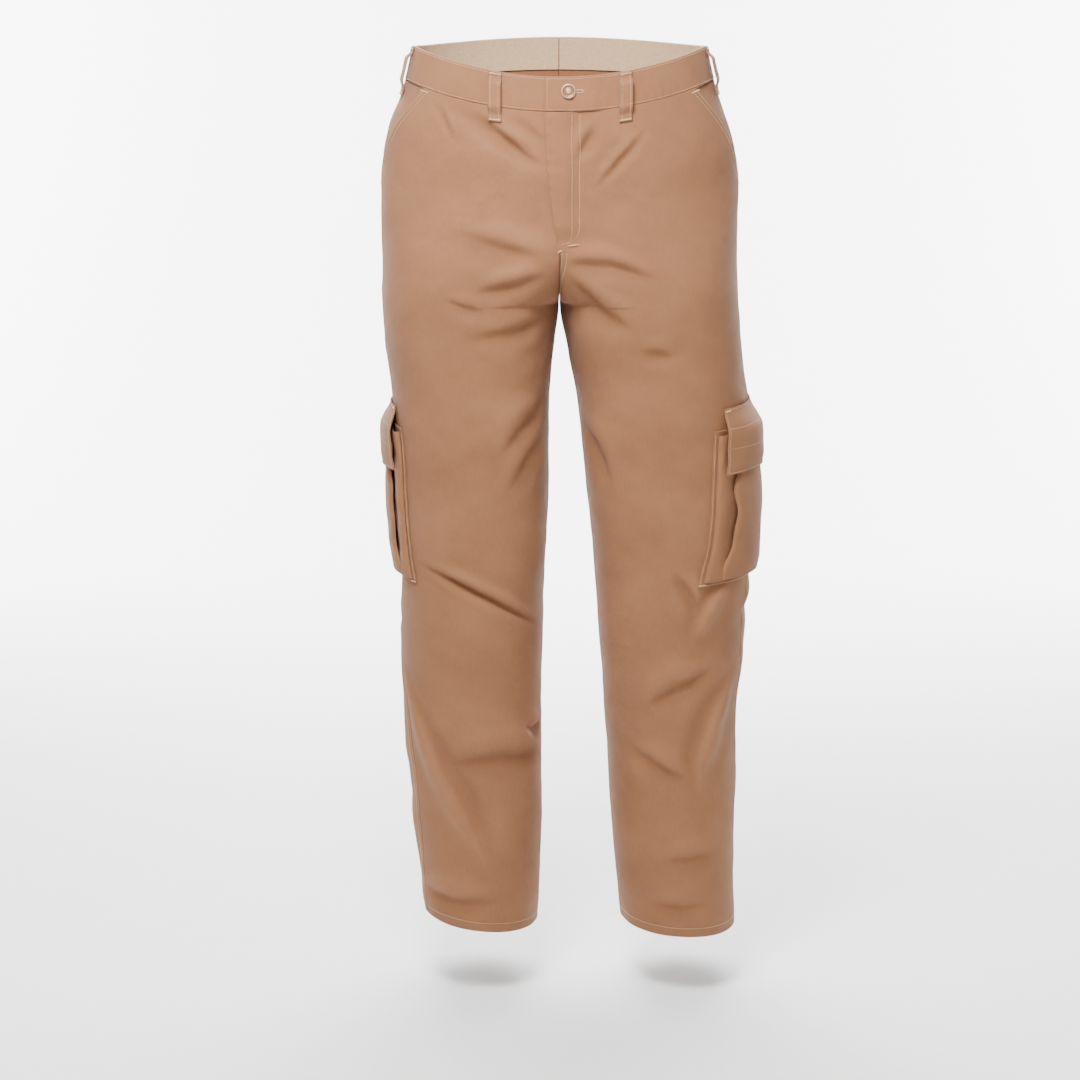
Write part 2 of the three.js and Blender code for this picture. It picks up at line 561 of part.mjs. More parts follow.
// How far the cargo pocket's face stands off the leg.
function cargoOut(mm, drop) {
  const across = clamp((mm + CARGO.back) / CARGO_WIDTH, 0, 1);
  const down = clamp((drop - CARGO.top) / (CARGO.bottom - CARGO.top), 0, 1);
  return CARGO.edge + CARGO.bulge * Math.sin(Math.PI * across) * Math.sin(Math.PI * (0.25 + 0.6 * down));
}

// The bellows is the pocket's side wall: down one side, along the bottom and up the other, pleated inwards.
function cargoBellows(side) {
  const high = CARGO.top + 4;
  const seam = 1.5;
  const path = (inset) => {
    const ahead = CARGO.front - seam - inset;
    const behind = -CARGO.back + seam + inset;
    const low = CARGO.bottom - seam - inset;
    const corner = 12 - inset / 2;
    return [
      ...steps(high, low - corner, 5).map((drop) => [ahead, drop]),
      ...steps(ahead - corner, behind + corner, 8).map((mm) => [mm, low]),
      ...steps(low - corner, high, 5).map((drop) => [behind, drop]),
    ];
  };
  const place = ([mm, drop], share) => {
    const top = cargoOut(mm, drop) - CLOTH - LAY_GAP;
    return skin(side, around(side, drop, mm), drop + cargoSlant(mm), lerp(LAY_GAP, top, share));
  };
  const level = (inset, share) => path(inset + (share === 0.5 ? CARGO.pleat : 0)).map((at) => place(at, share));
  const layer = (inset) => [0, 0.5, 1].map((share) => level(inset, share));
  add(`cargo_bellows_${sideName(side)}`, gridSolid(layer(0), layer(CARGO.wall)), TWILL);
}

function cargoPiece(name, side, material, shape) {
  add(`cargo_${name}_${sideName(side)}`, outseamPiece({ side, slant: cargoSlant, ...shape }), material);
}

function cargoPocket(side) {
  const faceRows = [CARGO.top, ...TAPE_ROWS, CARGO_FLAP.bottom, ...steps(500, CARGO.bottom, 4)];
  cargoPiece("pocket", side, TWILL, { drops: faceRows, columns: CARGO_COLUMNS, out: cargoOut, thick: CLOTH });
  cargoBellows(side);
  const overTapes = 3 * GAP + 2 * TAPE.thick + CARGO_FLAP.thick;
  const flapOut = (mm, drop) => {
    const settle = (2 * TAPE.thick + GAP) * smooth(drop, TAPE.bottom, CARGO_FLAP.bottom - 2);
    const closed = cargoOut(mm, drop) + overTapes - settle;
    return lerp(LAY_GAP + CARGO_FLAP.thick, closed, smooth(drop, CARGO_FLAP.top, FLAP_FULL));
  };
  const flapRows = [...steps(CARGO_FLAP.top, CARGO.top, 4), ...TAPE_ROWS, CARGO_FLAP.bottom];
  const { inset } = CARGO_FLAP;
  const flapColumns = [inset - CARGO.back, ...CARGO_COLUMNS.slice(1, -1), CARGO.front - inset];
  cargoPiece("flap", side, TWILL, { drops: flapRows, columns: flapColumns, out: flapOut, thick: CARGO_FLAP.thick });
  const tape = { drops: TAPE_ROWS, columns: CARGO_COLUMNS.slice(2, -2), thick: TAPE.thick };
  const rise = (layers) => (mm, drop) => cargoOut(mm, drop) + layers * (GAP + TAPE.thick);
  cargoPiece("loop_tape", side, TAPE_CLOTH, { ...tape, out: rise(1) });
  cargoPiece("hook_tape", side, HOOK_TAPE, { ...tape, out: rise(2) });
}

// ---- Assembly ----
for (const side of [1, -1]) {
  frontPanel(side);
  backPanel(side);
  waistband(side, "waistband", 0, BAND.thick, TWILL);
  waistband(side, "waistband_lining", BAND.thick + GAP, BAND.lining, POCKETING);
  const atOutseam = (mm) => (drop) => around(side, drop, mm);
  beltLoop(`belt_loop_front_${sideName(side)}`, side, (drop) => frontQ(side, drop, side * LOOPS.front));
  beltLoop(`belt_loop_side_${sideName(side)}`, side, atOutseam(LOOPS.side));
  beltLoop(`belt_loop_back_${sideName(side)}`, side, atOutseam(LOOPS.back));
  handPocket(side);
  backPocket(side);
  cargoPocket(side);
  zipTape(side);
  zipTeeth(side);
}
beltLoop("belt_loop_back_centre", 1, () => -1);
waistbandEnd();
waistButton();
flyOverlap();
flyShield();
zipFittings();

export default garment;
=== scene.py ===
"""Tan cargo work trousers in worn shape: cloth with its folds, seams, stitching and fittings.

Lengths here are in millimetres and are turned to metres where a mesh is made. A place on the garment is
(side, q, drop): side +1 left or -1 right, q the share of the way round from the outseam (0) to the front
centre or inseam (+1) or to the back centre or inseam (-1), drop the distance down from the waist's top.
"mm" is a distance round from the outseam, ahead of it if positive, and "out" is a distance off the surface.
"""

import bpy
import numpy as np
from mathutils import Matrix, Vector


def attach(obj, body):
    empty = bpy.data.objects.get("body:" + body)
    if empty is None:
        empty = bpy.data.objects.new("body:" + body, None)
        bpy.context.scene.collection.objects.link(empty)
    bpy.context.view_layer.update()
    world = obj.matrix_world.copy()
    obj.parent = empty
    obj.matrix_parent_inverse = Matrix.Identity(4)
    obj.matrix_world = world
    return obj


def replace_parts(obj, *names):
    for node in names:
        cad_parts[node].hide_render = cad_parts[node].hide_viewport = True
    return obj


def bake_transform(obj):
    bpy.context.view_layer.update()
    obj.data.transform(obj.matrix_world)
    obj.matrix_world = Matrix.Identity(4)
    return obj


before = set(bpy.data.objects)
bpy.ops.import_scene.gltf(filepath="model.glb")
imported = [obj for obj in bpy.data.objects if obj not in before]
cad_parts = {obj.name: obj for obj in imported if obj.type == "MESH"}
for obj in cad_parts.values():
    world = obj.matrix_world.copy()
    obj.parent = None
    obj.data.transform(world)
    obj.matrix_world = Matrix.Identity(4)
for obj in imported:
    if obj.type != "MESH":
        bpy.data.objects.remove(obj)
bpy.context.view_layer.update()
METRE = 0.001

# ---- The camera, where the photograph's stood ----
CAMERA = {"place": (-0.0225, -2.9, -0.05), "aim": (-0.0225, 0.0, -0.575), "lens": 82.9, "sensor": 36.0}


def add_aimed(name, data, place, aim):
    """A camera or a light, at a place and looking at another."""
    obj = bpy.data.objects.new(name, data)
    bpy.context.scene.collection.objects.link(obj)
    obj.location = place
    obj.rotation_euler = (Vector(aim) - Vector(place)).to_track_quat("-Z", "Y").to_euler()
    return obj


def make_camera():
    data = bpy.data.cameras.new("camera")
    data.lens = CAMERA["lens"]
    data.sensor_width = CAMERA["sensor"]
    bpy.context.scene.camera = add_aimed("camera", data, CAMERA["place"], CAMERA["aim"])


make_camera()
# ---- Sizes, as in the CAD model ----
SIDE = {1: "left", -1: "right"}
CLOTH = 1.2
GAP = 0.35
LAY_GAP = 0.95
BAND = {"height": 38, "thick": 1.5, "lining": 1.1, "lift": 3.6, "lift_end": 62}
SEAM = BAND["height"] + GAP
UNDERLAP = 29
FRONT_Y = 102.8
FRONT_LEAN = 0.0592
FRONT_DIP = 36
BACK_RISE = 12
DIP_FADE = 215
FORK = 290
FORK_Y = 12
FRONT_CURVE = 222
BACK_CURVE = 150
SPLIT = 70
HEM = {1: (1043, -0.065), -1: (1036, -0.11)}  # drop and slope
HEM_FADE = 190
FLY = {"edge": 17, "fold_top": 30, "bottom": 220, "facing": 22, "fade": 60}
FLY_LIFT = {"edge": 3.2, "zip": 5.6, "flat": 1.3}
ZIP = {"x": -1, "length": 112, "top": 9, "tape": 11, "tape_thick": 0.6, "half": 2.4, "thick": 2.8}
SLIDER_PLATE = 1.2
SHIELD = {"from": -27, "to": 24, "thick": 1.3, "bottom": 216}
MOUTH = {"across": 72, "bottom": 160, "facing": 22}
BAG = {"inner": 140, "outer": 6, "bottom": 256, "thick": 1.4}
BACK_POCKET = {"from": 70, "to": 204, "top": 92, "bottom": 220, "point": 16, "narrow": 44}
CARGO = {"front": 84, "back": 82, "top": 431, "bottom": 606, "slant": 10}
CARGO_FLAP = {"inset": 8, "top": 404, "bottom": 479, "thick": 1.8}
TAPE = {"top": 438, "bottom": 463, "thick": 1, "half": 49.8}
LOOP = {"half": 7.5, "top": 1, "below": 17, "clear": 6.4, "thick": 1.4, "foot": 8}
LOOPS = {"front": 73, "side": 24, "back": -150}
BUTTON = {"x": 9, "below": 16}

# ---- Shape stations: (drop, value) pairs, joined by a smooth curve ----
BACK_DEPTH = [
    (-20, 105), (0, 108), (38, 114), (96, 126), (150, 134), (195, 136), (290, 127),
    (408, 116), (527, 100), (648, 90), (770, 97), (894, 105), (1060, 102),
]
MIDDLE = [(-20, 2), (150, 4), (290, 10), (408, 6), (527, 2), (648, 0), (770, 6), (894, 12), (1060, 14)]
LEG_FRONT = [(200, 112), (290, 109), (408, 102), (527, 96), (648, 92), (770, 80), (894, 70), (1060, 70)]
ROUNDNESS = [(-20, 2.25), (200, 2.3), (290, 2.7), (408, 2.4), (648, 2.2), (1060, 2.1)]
HIP_OUTER = [(-20, 164), (0, 168), (38, 177), (62, 185), (96, 197), (130, 204), (160, 206), (200, 206)]
OUTER = {
    1: HIP_OUTER + [
        (290, 208), (338, 213), (408, 219), (467, 222), (560, 224),
        (648, 223), (709, 219), (770, 214), (894, 213), (1060, 213),
    ],
    -1: HIP_OUTER + [
        (290, 206), (338, 203), (408, 195), (503, 190), (611, 187),
        (709, 188), (800, 185), (894, 178), (957, 172), (1060, 160),
    ],
}
INNER = {
    1: [(140, 0.3), (290, 0.3), (349, 10), (408, 21), (527, 34), (648, 45), (770, 54), (894, 62), (1060, 77)],
    -1: [(140, 0.3), (290, 0.3), (349, 7), (408, 11), (527, 13), (648, 18), (770, 21), (894, 20), (1060, 27)],
}
SEAM_TURN = {
    1: [(-20, 0), (290, 0), (408, 8), (560, 12), (648, 22), (770, 18), (1060, 5)],
    -1: [(-20, 0), (290, 0), (408, -8), (560, -12), (700, 8), (800, 28), (900, 32), (1060, 20)],
}


# ---- Small mathematics ----
def smooth(value, low, high):
    t = np.clip((value - low) / (high - low), 0, 1)
    return t * t * (3 - 2 * t)


def lerp(a, b, t):
    return a + (b - a) * t


def power(value, p):
    return np.sign(value) * np.abs(value) ** (2 / p)


def unit(vectors):
    return vectors / np.maximum(np.linalg.norm(vectors, axis=-1, keepdims=True), 1e-9)


def station(table, drop):
    """The value of a station table: a cubic that never runs past the stations it joins."""
    x, y = np.array(table, float).T
    secant = np.diff(y) / np.diff(x)
    product = secant[:-1] * secant[1:]
    total = np.where(product > 0, secant[:-1] + secant[1:], 1)
    slope = np.concatenate([secant[:1], np.where(product > 0, 2 * product / total, 0), secant[-1:]])
    i = np.clip(np.searchsorted(x, drop) - 1, 0, len(x) - 2)
    width = x[i + 1] - x[i]
    t = np.clip((drop - x[i]) / width, 0, 1)
    bend = width * (slope[i] * t * (1 - t) ** 2 - slope[i + 1] * (1 - t) * t * t)
    return lerp(y[i], y[i + 1], t * t * (3 - 2 * t)) + bend


# ---- The garment's bare surface ----
def fork_share(face, drop):
    start = FRONT_CURVE if face > 0 else BACK_CURVE
    return 1 - np.sqrt(1 - np.clip((drop - start) / (FORK - start), 0, 1) ** 2)


def face_y(face, low):
    if face < 0:
        return station(BACK_DEPTH, low)
    straight = -FRONT_Y - FRONT_LEAN * low
    return lerp(straight, -station(LEG_FRONT, low), smooth(low, FRONT_CURVE, FORK + 60))


def waist_shift(face, q, drop):
    dip = 1 - np.cos(q * np.pi / 2) ** 1.7
    return (FRONT_DIP if face > 0 else -BACK_RISE) * dip * (1 - smooth(drop, BAND["height"], DIP_FADE))


def section(side, face, drop, q):
    """Points of rows of the surface, each row two quarter rounds, before they are spaced evenly."""
    low = drop + waist_shift(face, q, drop)
    p = station(ROUNDNESS, low)
    outer, inner, middle = station(OUTER[side], low), station(INNER[side], low), station(MIDDLE, low)
    turn = np.where(drop < FORK, 0, face * station(SEAM_TURN[side], low))
    half = (outer - inner) / 2
    start = (FRONT_CURVE if face > 0 else BACK_CURVE) - SPLIT
    crown = (inner + half) * smooth(drop, start, FORK)
    share = fork_share(face, drop)
    far = face_y(face, low)
    end_x = inner * share
    end_y = lerp(far, lerp(FORK_Y, middle, smooth(drop, FORK, FORK + 160)), share)
    outer_length = outer - crown + np.abs(far - middle)
    inner_length = crown - end_x + np.abs(far - end_y)
    bend = outer_length / (outer_length + inner_length)
    angle = np.radians(lerp(turn, 90, np.clip(q / bend, 0, 1)))
    depth = np.where(angle >= 0, far, face_y(-face, low)) - middle
    x1 = crown + (outer - crown) * power(np.cos(angle), p)
    y1 = middle + depth * power(np.abs(np.sin(angle)), p)
    angle = np.clip((q - bend) / np.maximum(1 - bend, 1e-6), 0, 1) * np.pi / 2
    x2 = crown - (crown - end_x) * power(np.sin(angle), p)
    y2 = end_y + (far - end_y) * power(np.cos(angle), p)
    x, y = np.where(q < bend, x1, x2), np.where(q < bend, y1, y2)
    hem, slope = HEM[side]
    slant = side * (x - inner - half) * slope * smooth(drop, hem - HEM_FADE, hem)
    return np.stack([side * x, y, slant - low], -1)


def lay_hem(side, points):
    """Puts a leg's last row on the plane of its hem."""
    drop, slope = HEM[side]
    centre = side * (station(OUTER[side], drop) + station(INNER[side], drop)) / 2
    points[..., 2] = slope * (points[..., 0] - centre) - drop


# ---- The surface as a grid, with its folds ----
FINE = 260
ROW_PITCH = 3.4
CLOSE_SHARES = np.array([0, 0.004, 0.01, 0.018])  # columns crowd at the seams
COLUMN_SHARES = np.concatenate([CLOSE_SHARES, np.linspace(0.03, 0.97, 84), 1 - CLOSE_SHARES[::-1]])
SHARES = np.concatenate([-COLUMN_SHARES[:0:-1], COLUMN_SHARES])


def grid_drops(side):
    """The rows' drops: even, but closer where the crotch curve comes to the fork."""
    hip = np.arange(-2, FRONT_CURVE, ROW_PITCH)
    curve = lerp(FRONT_CURVE, FORK, np.sin(np.linspace(0, np.pi / 2, 30)))
    leg = np.linspace(FORK, HEM[side][0], int((HEM[side][0] - FORK) / ROW_PITCH))[1:]
    return np.concatenate([hip, curve, leg])


def even_rows(side, face, drops, shares):
    """Rows of points at shares of each row's own length, and the rows' lengths."""
    fine = section(side, face, drops[:, None], np.linspace(0, 1, FINE)[None, :])
    lay_hem(side, fine[-1:])
    run = np.cumsum(np.linalg.norm(np.diff(fine, axis=1), axis=-1), axis=1)
    run = np.concatenate([np.zeros((len(drops), 1)), run], axis=1)
    rows = [
        [np.interp(shares * along[-1], along, points[:, k]) for k in range(3)]
        for points, along in zip(fine, run)
    ]
    return np.moveaxis(np.array(rows), 1, 2), run[:, -1]


def beyond(own, other, hips):
    """A grid and a column beyond each end: of the other side above the fork, round the inseam below it."""
    before, after = own[:, -2].copy(), own[:, 1].copy()
    before[:hips], after[:hips] = other[:hips, 1], other[:hips, -2]
    return np.concatenate([before[:, None], own, after[:, None]], axis=1)


def look_up(grid, rows, row, column):
    """Values between the points of a grid, at a drop and a share of the way round."""
    row = np.interp(row, rows, np.arange(len(rows)))
    column = np.interp(column, SHARES, np.arange(len(SHARES)))
    i = np.clip(row.astype(int), 0, len(rows) - 2)
    j = np.clip(column.astype(int), 0, len(SHARES) - 2)
    u, v = (row - i)[..., None], (column - j)[..., None]
    upper = lerp(grid[i, j], grid[i, j + 1], v)
    lower = lerp(grid[i + 1, j], grid[i + 1, j + 1], v)
    return lerp(upper, lower, u)


# Folds as (points, width, depth): points are (mm, drop), a depth under 0 is a ridge.
FRONT_FOLDS = {
    -1: [
        ([(95, 40), (150, 52), (195, 80), (240, 114)], 9, 3.0),
        ([(177, 42), (205, 55), (230, 74)], 7, 1.8),
        ([(78, 42), (108, 58), (134, 88)], 4, 1.2),
        ([(159, 209), (215, 226), (267, 237)], 12, 2.2),
        ([(194, 274), (235, 268), (275, 254)], 9, 1.8),
        ([(161, 282), (185, 292), (209, 297)], 7, 1.2),
        ([(185, 328), (240, 320), (293, 304)], 10, 1.8),
        ([(289, 403), (250, 430), (214, 465)], 13, 2.2),
        ([(294, 434), (255, 465), (221, 506)], 12, 1.6),
        ([(100, 588), (140, 606), (178, 629), (231, 666)], 6, 3.2),
        ([(51, 831), (120, 824), (200, 827)], 16, 2.6),
        ([(205, 790), (180, 796), (160, 790)], 8, 2.0),
        ([(15, 725), (25, 793), (42, 848), (97, 961)], 12, -3.0),
        ([(0, 1000), (60, 1004), (113, 998)], 12, 2.4),
    ],
    1: [
        ([(200, 50), (222, 76), (240, 104)], 7, 1.8),
        ([(149, 66), (190, 105), (226, 148)], 5, 1.3),
        ([(285, 240), (226, 244), (180, 260)], 9, 2.2),
        ([(285, 256), (247, 297), (201, 321)], 11, 2.2),
        ([(191, 341), (144, 348)], 8, 1.4),
        ([(270, 420), (235, 455), (205, 505)], 13, 1.6),
        ([(118, 598), (98, 618), (79, 643)], 7, 2.0),
        ([(48, 608), (66, 642), (84, 680)], 10, -2.2),
        ([(139, 762), (98, 735), (57, 714)], 13, 2.6),
        ([(158, 814), (120, 836), (86, 855)], 12, 2.2),
        ([(22, 721), (50, 775), (72, 827), (76, 872)], 12, -2.6),
        ([(126, 951), (90, 948), (56, 940)], 11, 1.8),
        ([(154, 1009), (110, 1008), (73, 1002)], 9, 1.6),
    ],
}
BACK_FOLDS = [
    ([(-262, 206), (-205, 244), (-150, 262)], 14, 2.8),
    ([(-285, 262), (-215, 292), (-150, 300)], 12, 2.8),
    ([(-240, 330), (-180, 346), (-120, 338)], 12, 2.0),
    ([(-220, 560), (-160, 590), (-110, 596)], 11, 1.8),
    ([(-60, 640), (-120, 664), (-190, 650)], 12, 3.4),
    ([(-70, 692), (-130, 706), (-205, 698)], 12, 2.8),
    ([(-50, 800), (-110, 830), (-170, 822)], 16, 2.6),
    ([(-60, 900), (-120, 925), (-175, 914)], 14, 2.4),
    ([(-30, 985), (-110, 1000), (-165, 990)], 12, 2.0),
    ([(-70, 626), (-30, 652), (15, 662)], 10, 1.8),
]
STIFF_WAIST = (40, 76)  # the folds grow from the waistband's seam down
FOLD_STRENGTH = 2.3
CRISPNESS = 0.85  # how narrow a fold's valley is beside its listed width
CENTRE_CLEAR = {"waist": 0.3, "crotch": 0.5}  # the two sides keep this far off the centre plane
CENTRE_HOLD = 24  # seams down the centre hold the cloth flat over this distance


def fold(mm, drop, points, width, depth):
    """A fold's height: a valley, steeper where the cloth hangs over it, that dies out at its ends."""
    nearest = np.full(mm.shape, 1e9)
    across = np.zeros(mm.shape)
    along = np.zeros(mm.shape)
    corners = np.array(points, float)
    lengths = np.linalg.norm(np.diff(corners, axis=0), axis=1)
    before = 0.0
    for a, b, length in zip(corners[:-1], corners[1:], lengths):
        ux, uy = (b - a) / length
        dx, dy = mm - a[0], drop - a[1]
        t = np.clip(dx * ux + dy * uy, 0, length)
        distance = np.hypot(dx - t * ux, dy - t * uy)
        closer = distance < nearest
        nearest = np.where(closer, distance, nearest)
        above = np.sign(dx * uy - dy * ux) * (np.sign(ux) or 1)
        across = np.where(closer, above * distance, across)
        along = np.where(closer, (before + t) / lengths.sum(), along)
        before += length
    ends = smooth(along, -0.05, 0.4) * (1 - smooth(along, 0.6, 1.05))
    u = across / (CRISPNESS * width * (0.6 + 0.5 * ends))
    shoulders = 0.55 * np.exp(-((u - 1.7) ** 2) / 1.3) + 0.2 * np.exp(-((u + 2.2) ** 2) / 1.8)
    steep = np.where(u > 0, 1.8, 0.7)
    return FOLD_STRENGTH * depth * ends * (shoulders - np.exp(-((u * steep) ** 2)))


def sway(mm, drop, seed, size, pitch, count=14):
    """Soft irregular waves in the cloth."""
    source = np.random.default_rng(seed)
    total = np.zeros(np.broadcast(mm, drop).shape)
    for _ in range(count):
        heading = source.uniform(-0.9, 0.9)
        length = pitch * source.uniform(0.6, 1.7)
        phase = source.uniform(0, 2 * np.pi)
        total += np.sin(2 * np.pi * (drop * np.cos(heading) + mm * np.sin(heading)) / length + phase)
    return size * total / np.sqrt(count)


def relief(side, mm, drop, from_end, from_centre):
    """How far the worn cloth stands off the bare surface at the places of a grid."""
    height = sway(mm, drop, 7 + side, 0.8, 120) + sway(mm, drop, 17 + side, 0.26, 36)
    for points, width, depth in FRONT_FOLDS[side] + BACK_FOLDS:
        slip = 6 * side if points[0][0] < 0 else 0
        height += fold(mm, drop + slip, points, width, depth)
    height *= smooth(drop, *STIFF_WAIST)
    parted = smooth(drop, FORK, FORK + 80)
    held = lerp(smooth(from_centre, 0, CENTRE_HOLD), smooth(from_end, 0, CENTRE_HOLD), parted)
    legs = drop >= FORK
    ends = (height[:, :1] + height[:, -1:]) / 2 * smooth(drop[:, :1], FORK, FORK + 60)
    height = np.where(legs, lerp(ends, height, held), height * held)
    return height + outseam_groove(mm, drop)


def outseam_groove(mm, drop):
    """The outseam's groove and its allowance's ridge: below the pocket mouth, clear of the cargo pocket."""
    groove = -0.7 * np.exp(-((mm / 1.6) ** 2)) + 0.35 * np.exp(-(((mm + 4.5) / 3) ** 2))
    top, bottom = CARGO_FLAP["top"], CARGO["bottom"]
    under_cargo = smooth(drop, top - 4, top) * smooth(-drop, -bottom - 4, -bottom)
    return groove * smooth(drop, MOUTH["bottom"], MOUTH["bottom"] + 30) * (1 - under_cargo)


class Half:
    """One side of the garment's outer surface as a grid of points, normals and reliefs."""

    def __init__(self, side):
        self.side = side
        self.drops = grid_drops(side)
        self.hips = int(np.sum(self.drops < FORK))
        back, back_length = even_rows(side, -1, self.drops, COLUMN_SHARES)
        front, front_length = even_rows(side, 1, self.drops, COLUMN_SHARES)
        self.bare = np.concatenate([back[:, :0:-1], front], axis=1)
        self.lengths = {1: front_length, -1: back_length}
        self.length = np.where(SHARES[None, :] > 0, front_length[:, None], back_length[:, None])
        self.mm = SHARES[None, :] * self.length
        self.drop = np.broadcast_to(self.drops[:, None], self.mm.shape)

    def shares(self, mm, drop):
        front, back = (np.interp(drop, self.drops, self.lengths[face]) for face in (1, -1))
        return mm / np.where(mm > 0, front, back)

    def normals(self, own, other):
        """Square to the row, and to the line down the cloth at the same distance from the outseam."""
        wide = beyond(own, other, self.hips)
        above, below = (
            look_up(own, self.drops, self.drop + step, np.clip(self.shares(self.mm, self.drop + step), -1, 1))
            for step in (-3, 3)
        )
        return unit(np.cross(wide[:, 2:] - wide[:, :-2], below - above)) * self.side

    def fold(self, other):
        x = np.abs(self.bare[..., 0])
        self.height = relief(self.side, self.mm, self.drop, self.length - np.abs(self.mm), x)
        points = self.bare + self.height[..., None] * self.normals(self.bare, other.bare)
        clear = np.where(self.drop > FRONT_CURVE, CENTRE_CLEAR["crotch"], CENTRE_CLEAR["waist"])
        points[..., 0] = self.side * np.maximum(self.side * points[..., 0], clear)
        lay_hem(self.side, points[-1:])
        self.folded = points

    def pack(self, other):
        normals = self.normals(self.folded, other.folded)
        self.grid = np.concatenate([self.folded, normals, self.height[..., None]], axis=-1)


HALVES = {side: Half(side) for side in (1, -1)}
for half in HALVES.values():
    half.fold(HALVES[-half.side])
for half in HALVES.values():
    half.pack(HALVES[-half.side])


def row_length(side, face, drop):
    half = HALVES[side]
    return np.interp(drop, half.drops, half.lengths[face])


def sample(side, mm, drop):
    """Position, normal and relief at distances round from the outseam. Past a row's end it runs on over the
    other side of the garment, or round the inseam of the same leg."""
    mm, drop = np.broadcast_arrays(np.asarray(mm, float), np.asarray(drop, float))
    own_half, other_half = HALVES[side], HALVES[-side]
    q = own_half.shares(mm, drop)
    past = np.abs(q) > 1
    turned = np.sign(q) * (2 - np.abs(q))
    own = look_up(own_half.grid, own_half.drops, drop, np.where(past, -turned, q))
    other = look_up(other_half.grid, other_half.drops, drop, turned)
    return np.where((past & (drop < FORK))[..., None], other, own)


def lying(side, mm, drop, out):
    """Points at places of the garment, off its surface, and the normals there."""
    found = sample(side, mm, drop)
    normal = unit(found[..., 3:6])
    return found[..., :3] + normal * np.asarray(out)[..., None], normal


def centre_z(drop):
    return -(drop + waist_shift(1, 1, drop))


# ---- Meshes ----
EDGE_STEPS = np.array([0, 0.5, 1.3, 2.8])


def add_mesh(name, points, faces, material, uv=None, height=None):
    mesh = bpy.data.meshes.new(name)
    mesh.from_pydata((points * METRE).tolist(), [], faces)
    if uv is not None:
        corners = np.empty(len(mesh.loops), np.int32)
        mesh.loops.foreach_get("vertex_index", corners)
        mesh.uv_layers.new(name="cloth").data.foreach_set("uv", (uv * METRE)[corners].ravel())
    # The cloth's height off the bare surface, which the twill turns into painted shade in fold valleys and a
    # painted highlight on ridges.
    if height is not None:
        mesh.attributes.new("relief", "FLOAT", "POINT").data.foreach_set("value", height.ravel())
    mesh.shade_smooth()
    mesh.materials.append(material)
    obj = bpy.data.objects.new(name, mesh)
    bpy.context.scene.collection.objects.link(obj)
    return obj


def quads(index):
    corners = [index[:-1, :-1], index[1:, :-1], index[1:, 1:], index[:-1, 1:]]
    return np.stack(corners, -1).reshape(-1, 4)


def shell(name, face, back, material, uv, height):
    """A closed thin piece between a grid of outer points and the same grid of inner points."""
    rows, columns = face.shape[:2]
    top, low = np.arange(2 * rows * columns).reshape(2, rows, columns)
    ring = [np.concatenate([a[0], a[1:, -1], a[-1, -2::-1], a[-2:0:-1, 0]]) for a in (top, low)]
    following = [np.roll(r, -1) for r in ring]
    walls = np.stack([ring[0], following[0], following[1], ring[1]], -1)
    faces = np.concatenate([quads(top), quads(low)[:, ::-1], walls])
    points = np.concatenate([face.reshape(-1, 3), back.reshape(-1, 3)])
    a, b, c = (points[faces[:, k]] for k in range(3))
    if np.sum(a * np.cross(b, c)) < 0:
        faces = faces[:, ::-1]
    both = [np.concatenate([v.reshape(rows * columns, -1)] * 2) for v in (uv, height)]
    return add_mesh(name, points, faces.tolist(), material, both[0], both[1])


def spread(start, end, pitch):
    """Places from start to end, close together at both ends: a row of them for each start."""
    start, end = np.broadcast_arrays(np.atleast_1d(start).astype(float), np.atleast_1d(end).astype(float))
    way = np.sign(end - start)[:, None]
    start, end = start[:, None], end[:, None]
    steps = EDGE_STEPS[None, :]
    count = max(int(np.max(np.abs(end - start)) / pitch), 2)
    middle = lerp(start + way * 5, end - way * 5, np.linspace(0, 1, count)[None, :])
    return np.concatenate([start + way * steps, middle, end - way * steps[:, ::-1]], axis=1)


def cloth(name, side, mm, drop, out, thick, material):
    """A cut piece of cloth lying on the garment, its edges softened."""
    mm, drop, out = np.broadcast_arrays(mm, drop, out)
    rim = np.zeros(mm.shape)
    rim[[0, -1]] = rim[:, [0, -1]] = 0.3
    found = sample(side, mm, drop)
    normal = unit(found[..., 3:6])
    face = found[..., :3] + normal * (out - thick * rim)[..., None]
    back = found[..., :3] + normal * (out - thick + thick * rim)[..., None]
    return shell(name, face, back, material, np.stack([mm, -drop], -1), found[..., 6])


def settle(obj, *nodes, body="root", bend=None):
    """Hides the CAD parts a piece replaces, and places it: it rides on a body, or, given a bend, has its
    place baked into its mesh.
    """
    if bend:
        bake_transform(obj)
    else:
        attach(obj, body)
    if nodes:
        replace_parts(obj, *nodes)
    return obj


# ---- The plane of the fly ----
LEAN = np.arctan(FRONT_LEAN)


def front_point(x, z, out):
    """A point of the fly's plane: across, up along the plane, and out of it."""
    x, z, out = np.broadcast_arrays(np.asarray(x, float), np.asarray(z, float), np.asarray(out, float))
    y = z * np.sin(LEAN) - out * np.cos(LEAN) - FRONT_Y
    return np.stack([x, y, z * np.cos(LEAN) + out * np.sin(LEAN)], -1)


# ---- Stitching ----
STITCH = {"pitch": 3.2, "length": 2.5, "half_width": 0.36, "half_height": 0.26}
BARTACK = {"pitch": 0.62, "width": 2.2}


def along_line(points, normals, pitch, length, crosswise=False):
    """Stitches along a line, or across it: centres, half lengths as vectors, and normals."""
    run = np.concatenate([[0], np.cumsum(np.linalg.norm(np.diff(points, axis=0), axis=1))])
    count = max(int(run[-1] / pitch), 2)
    at = (np.arange(count) + 0.5) * run[-1] / count

    def pick(values, places):
        return np.stack([np.interp(places, run, values[:, k]) for k in range(3)], -1)

    centre, normal = pick(points, at), unit(pick(normals, at))
    heading = unit(pick(points, at + 0.3) - pick(points, at - 0.3))
    if crosswise:
        heading = np.cross(normal, heading)
    return centre, heading * length / 2, normal


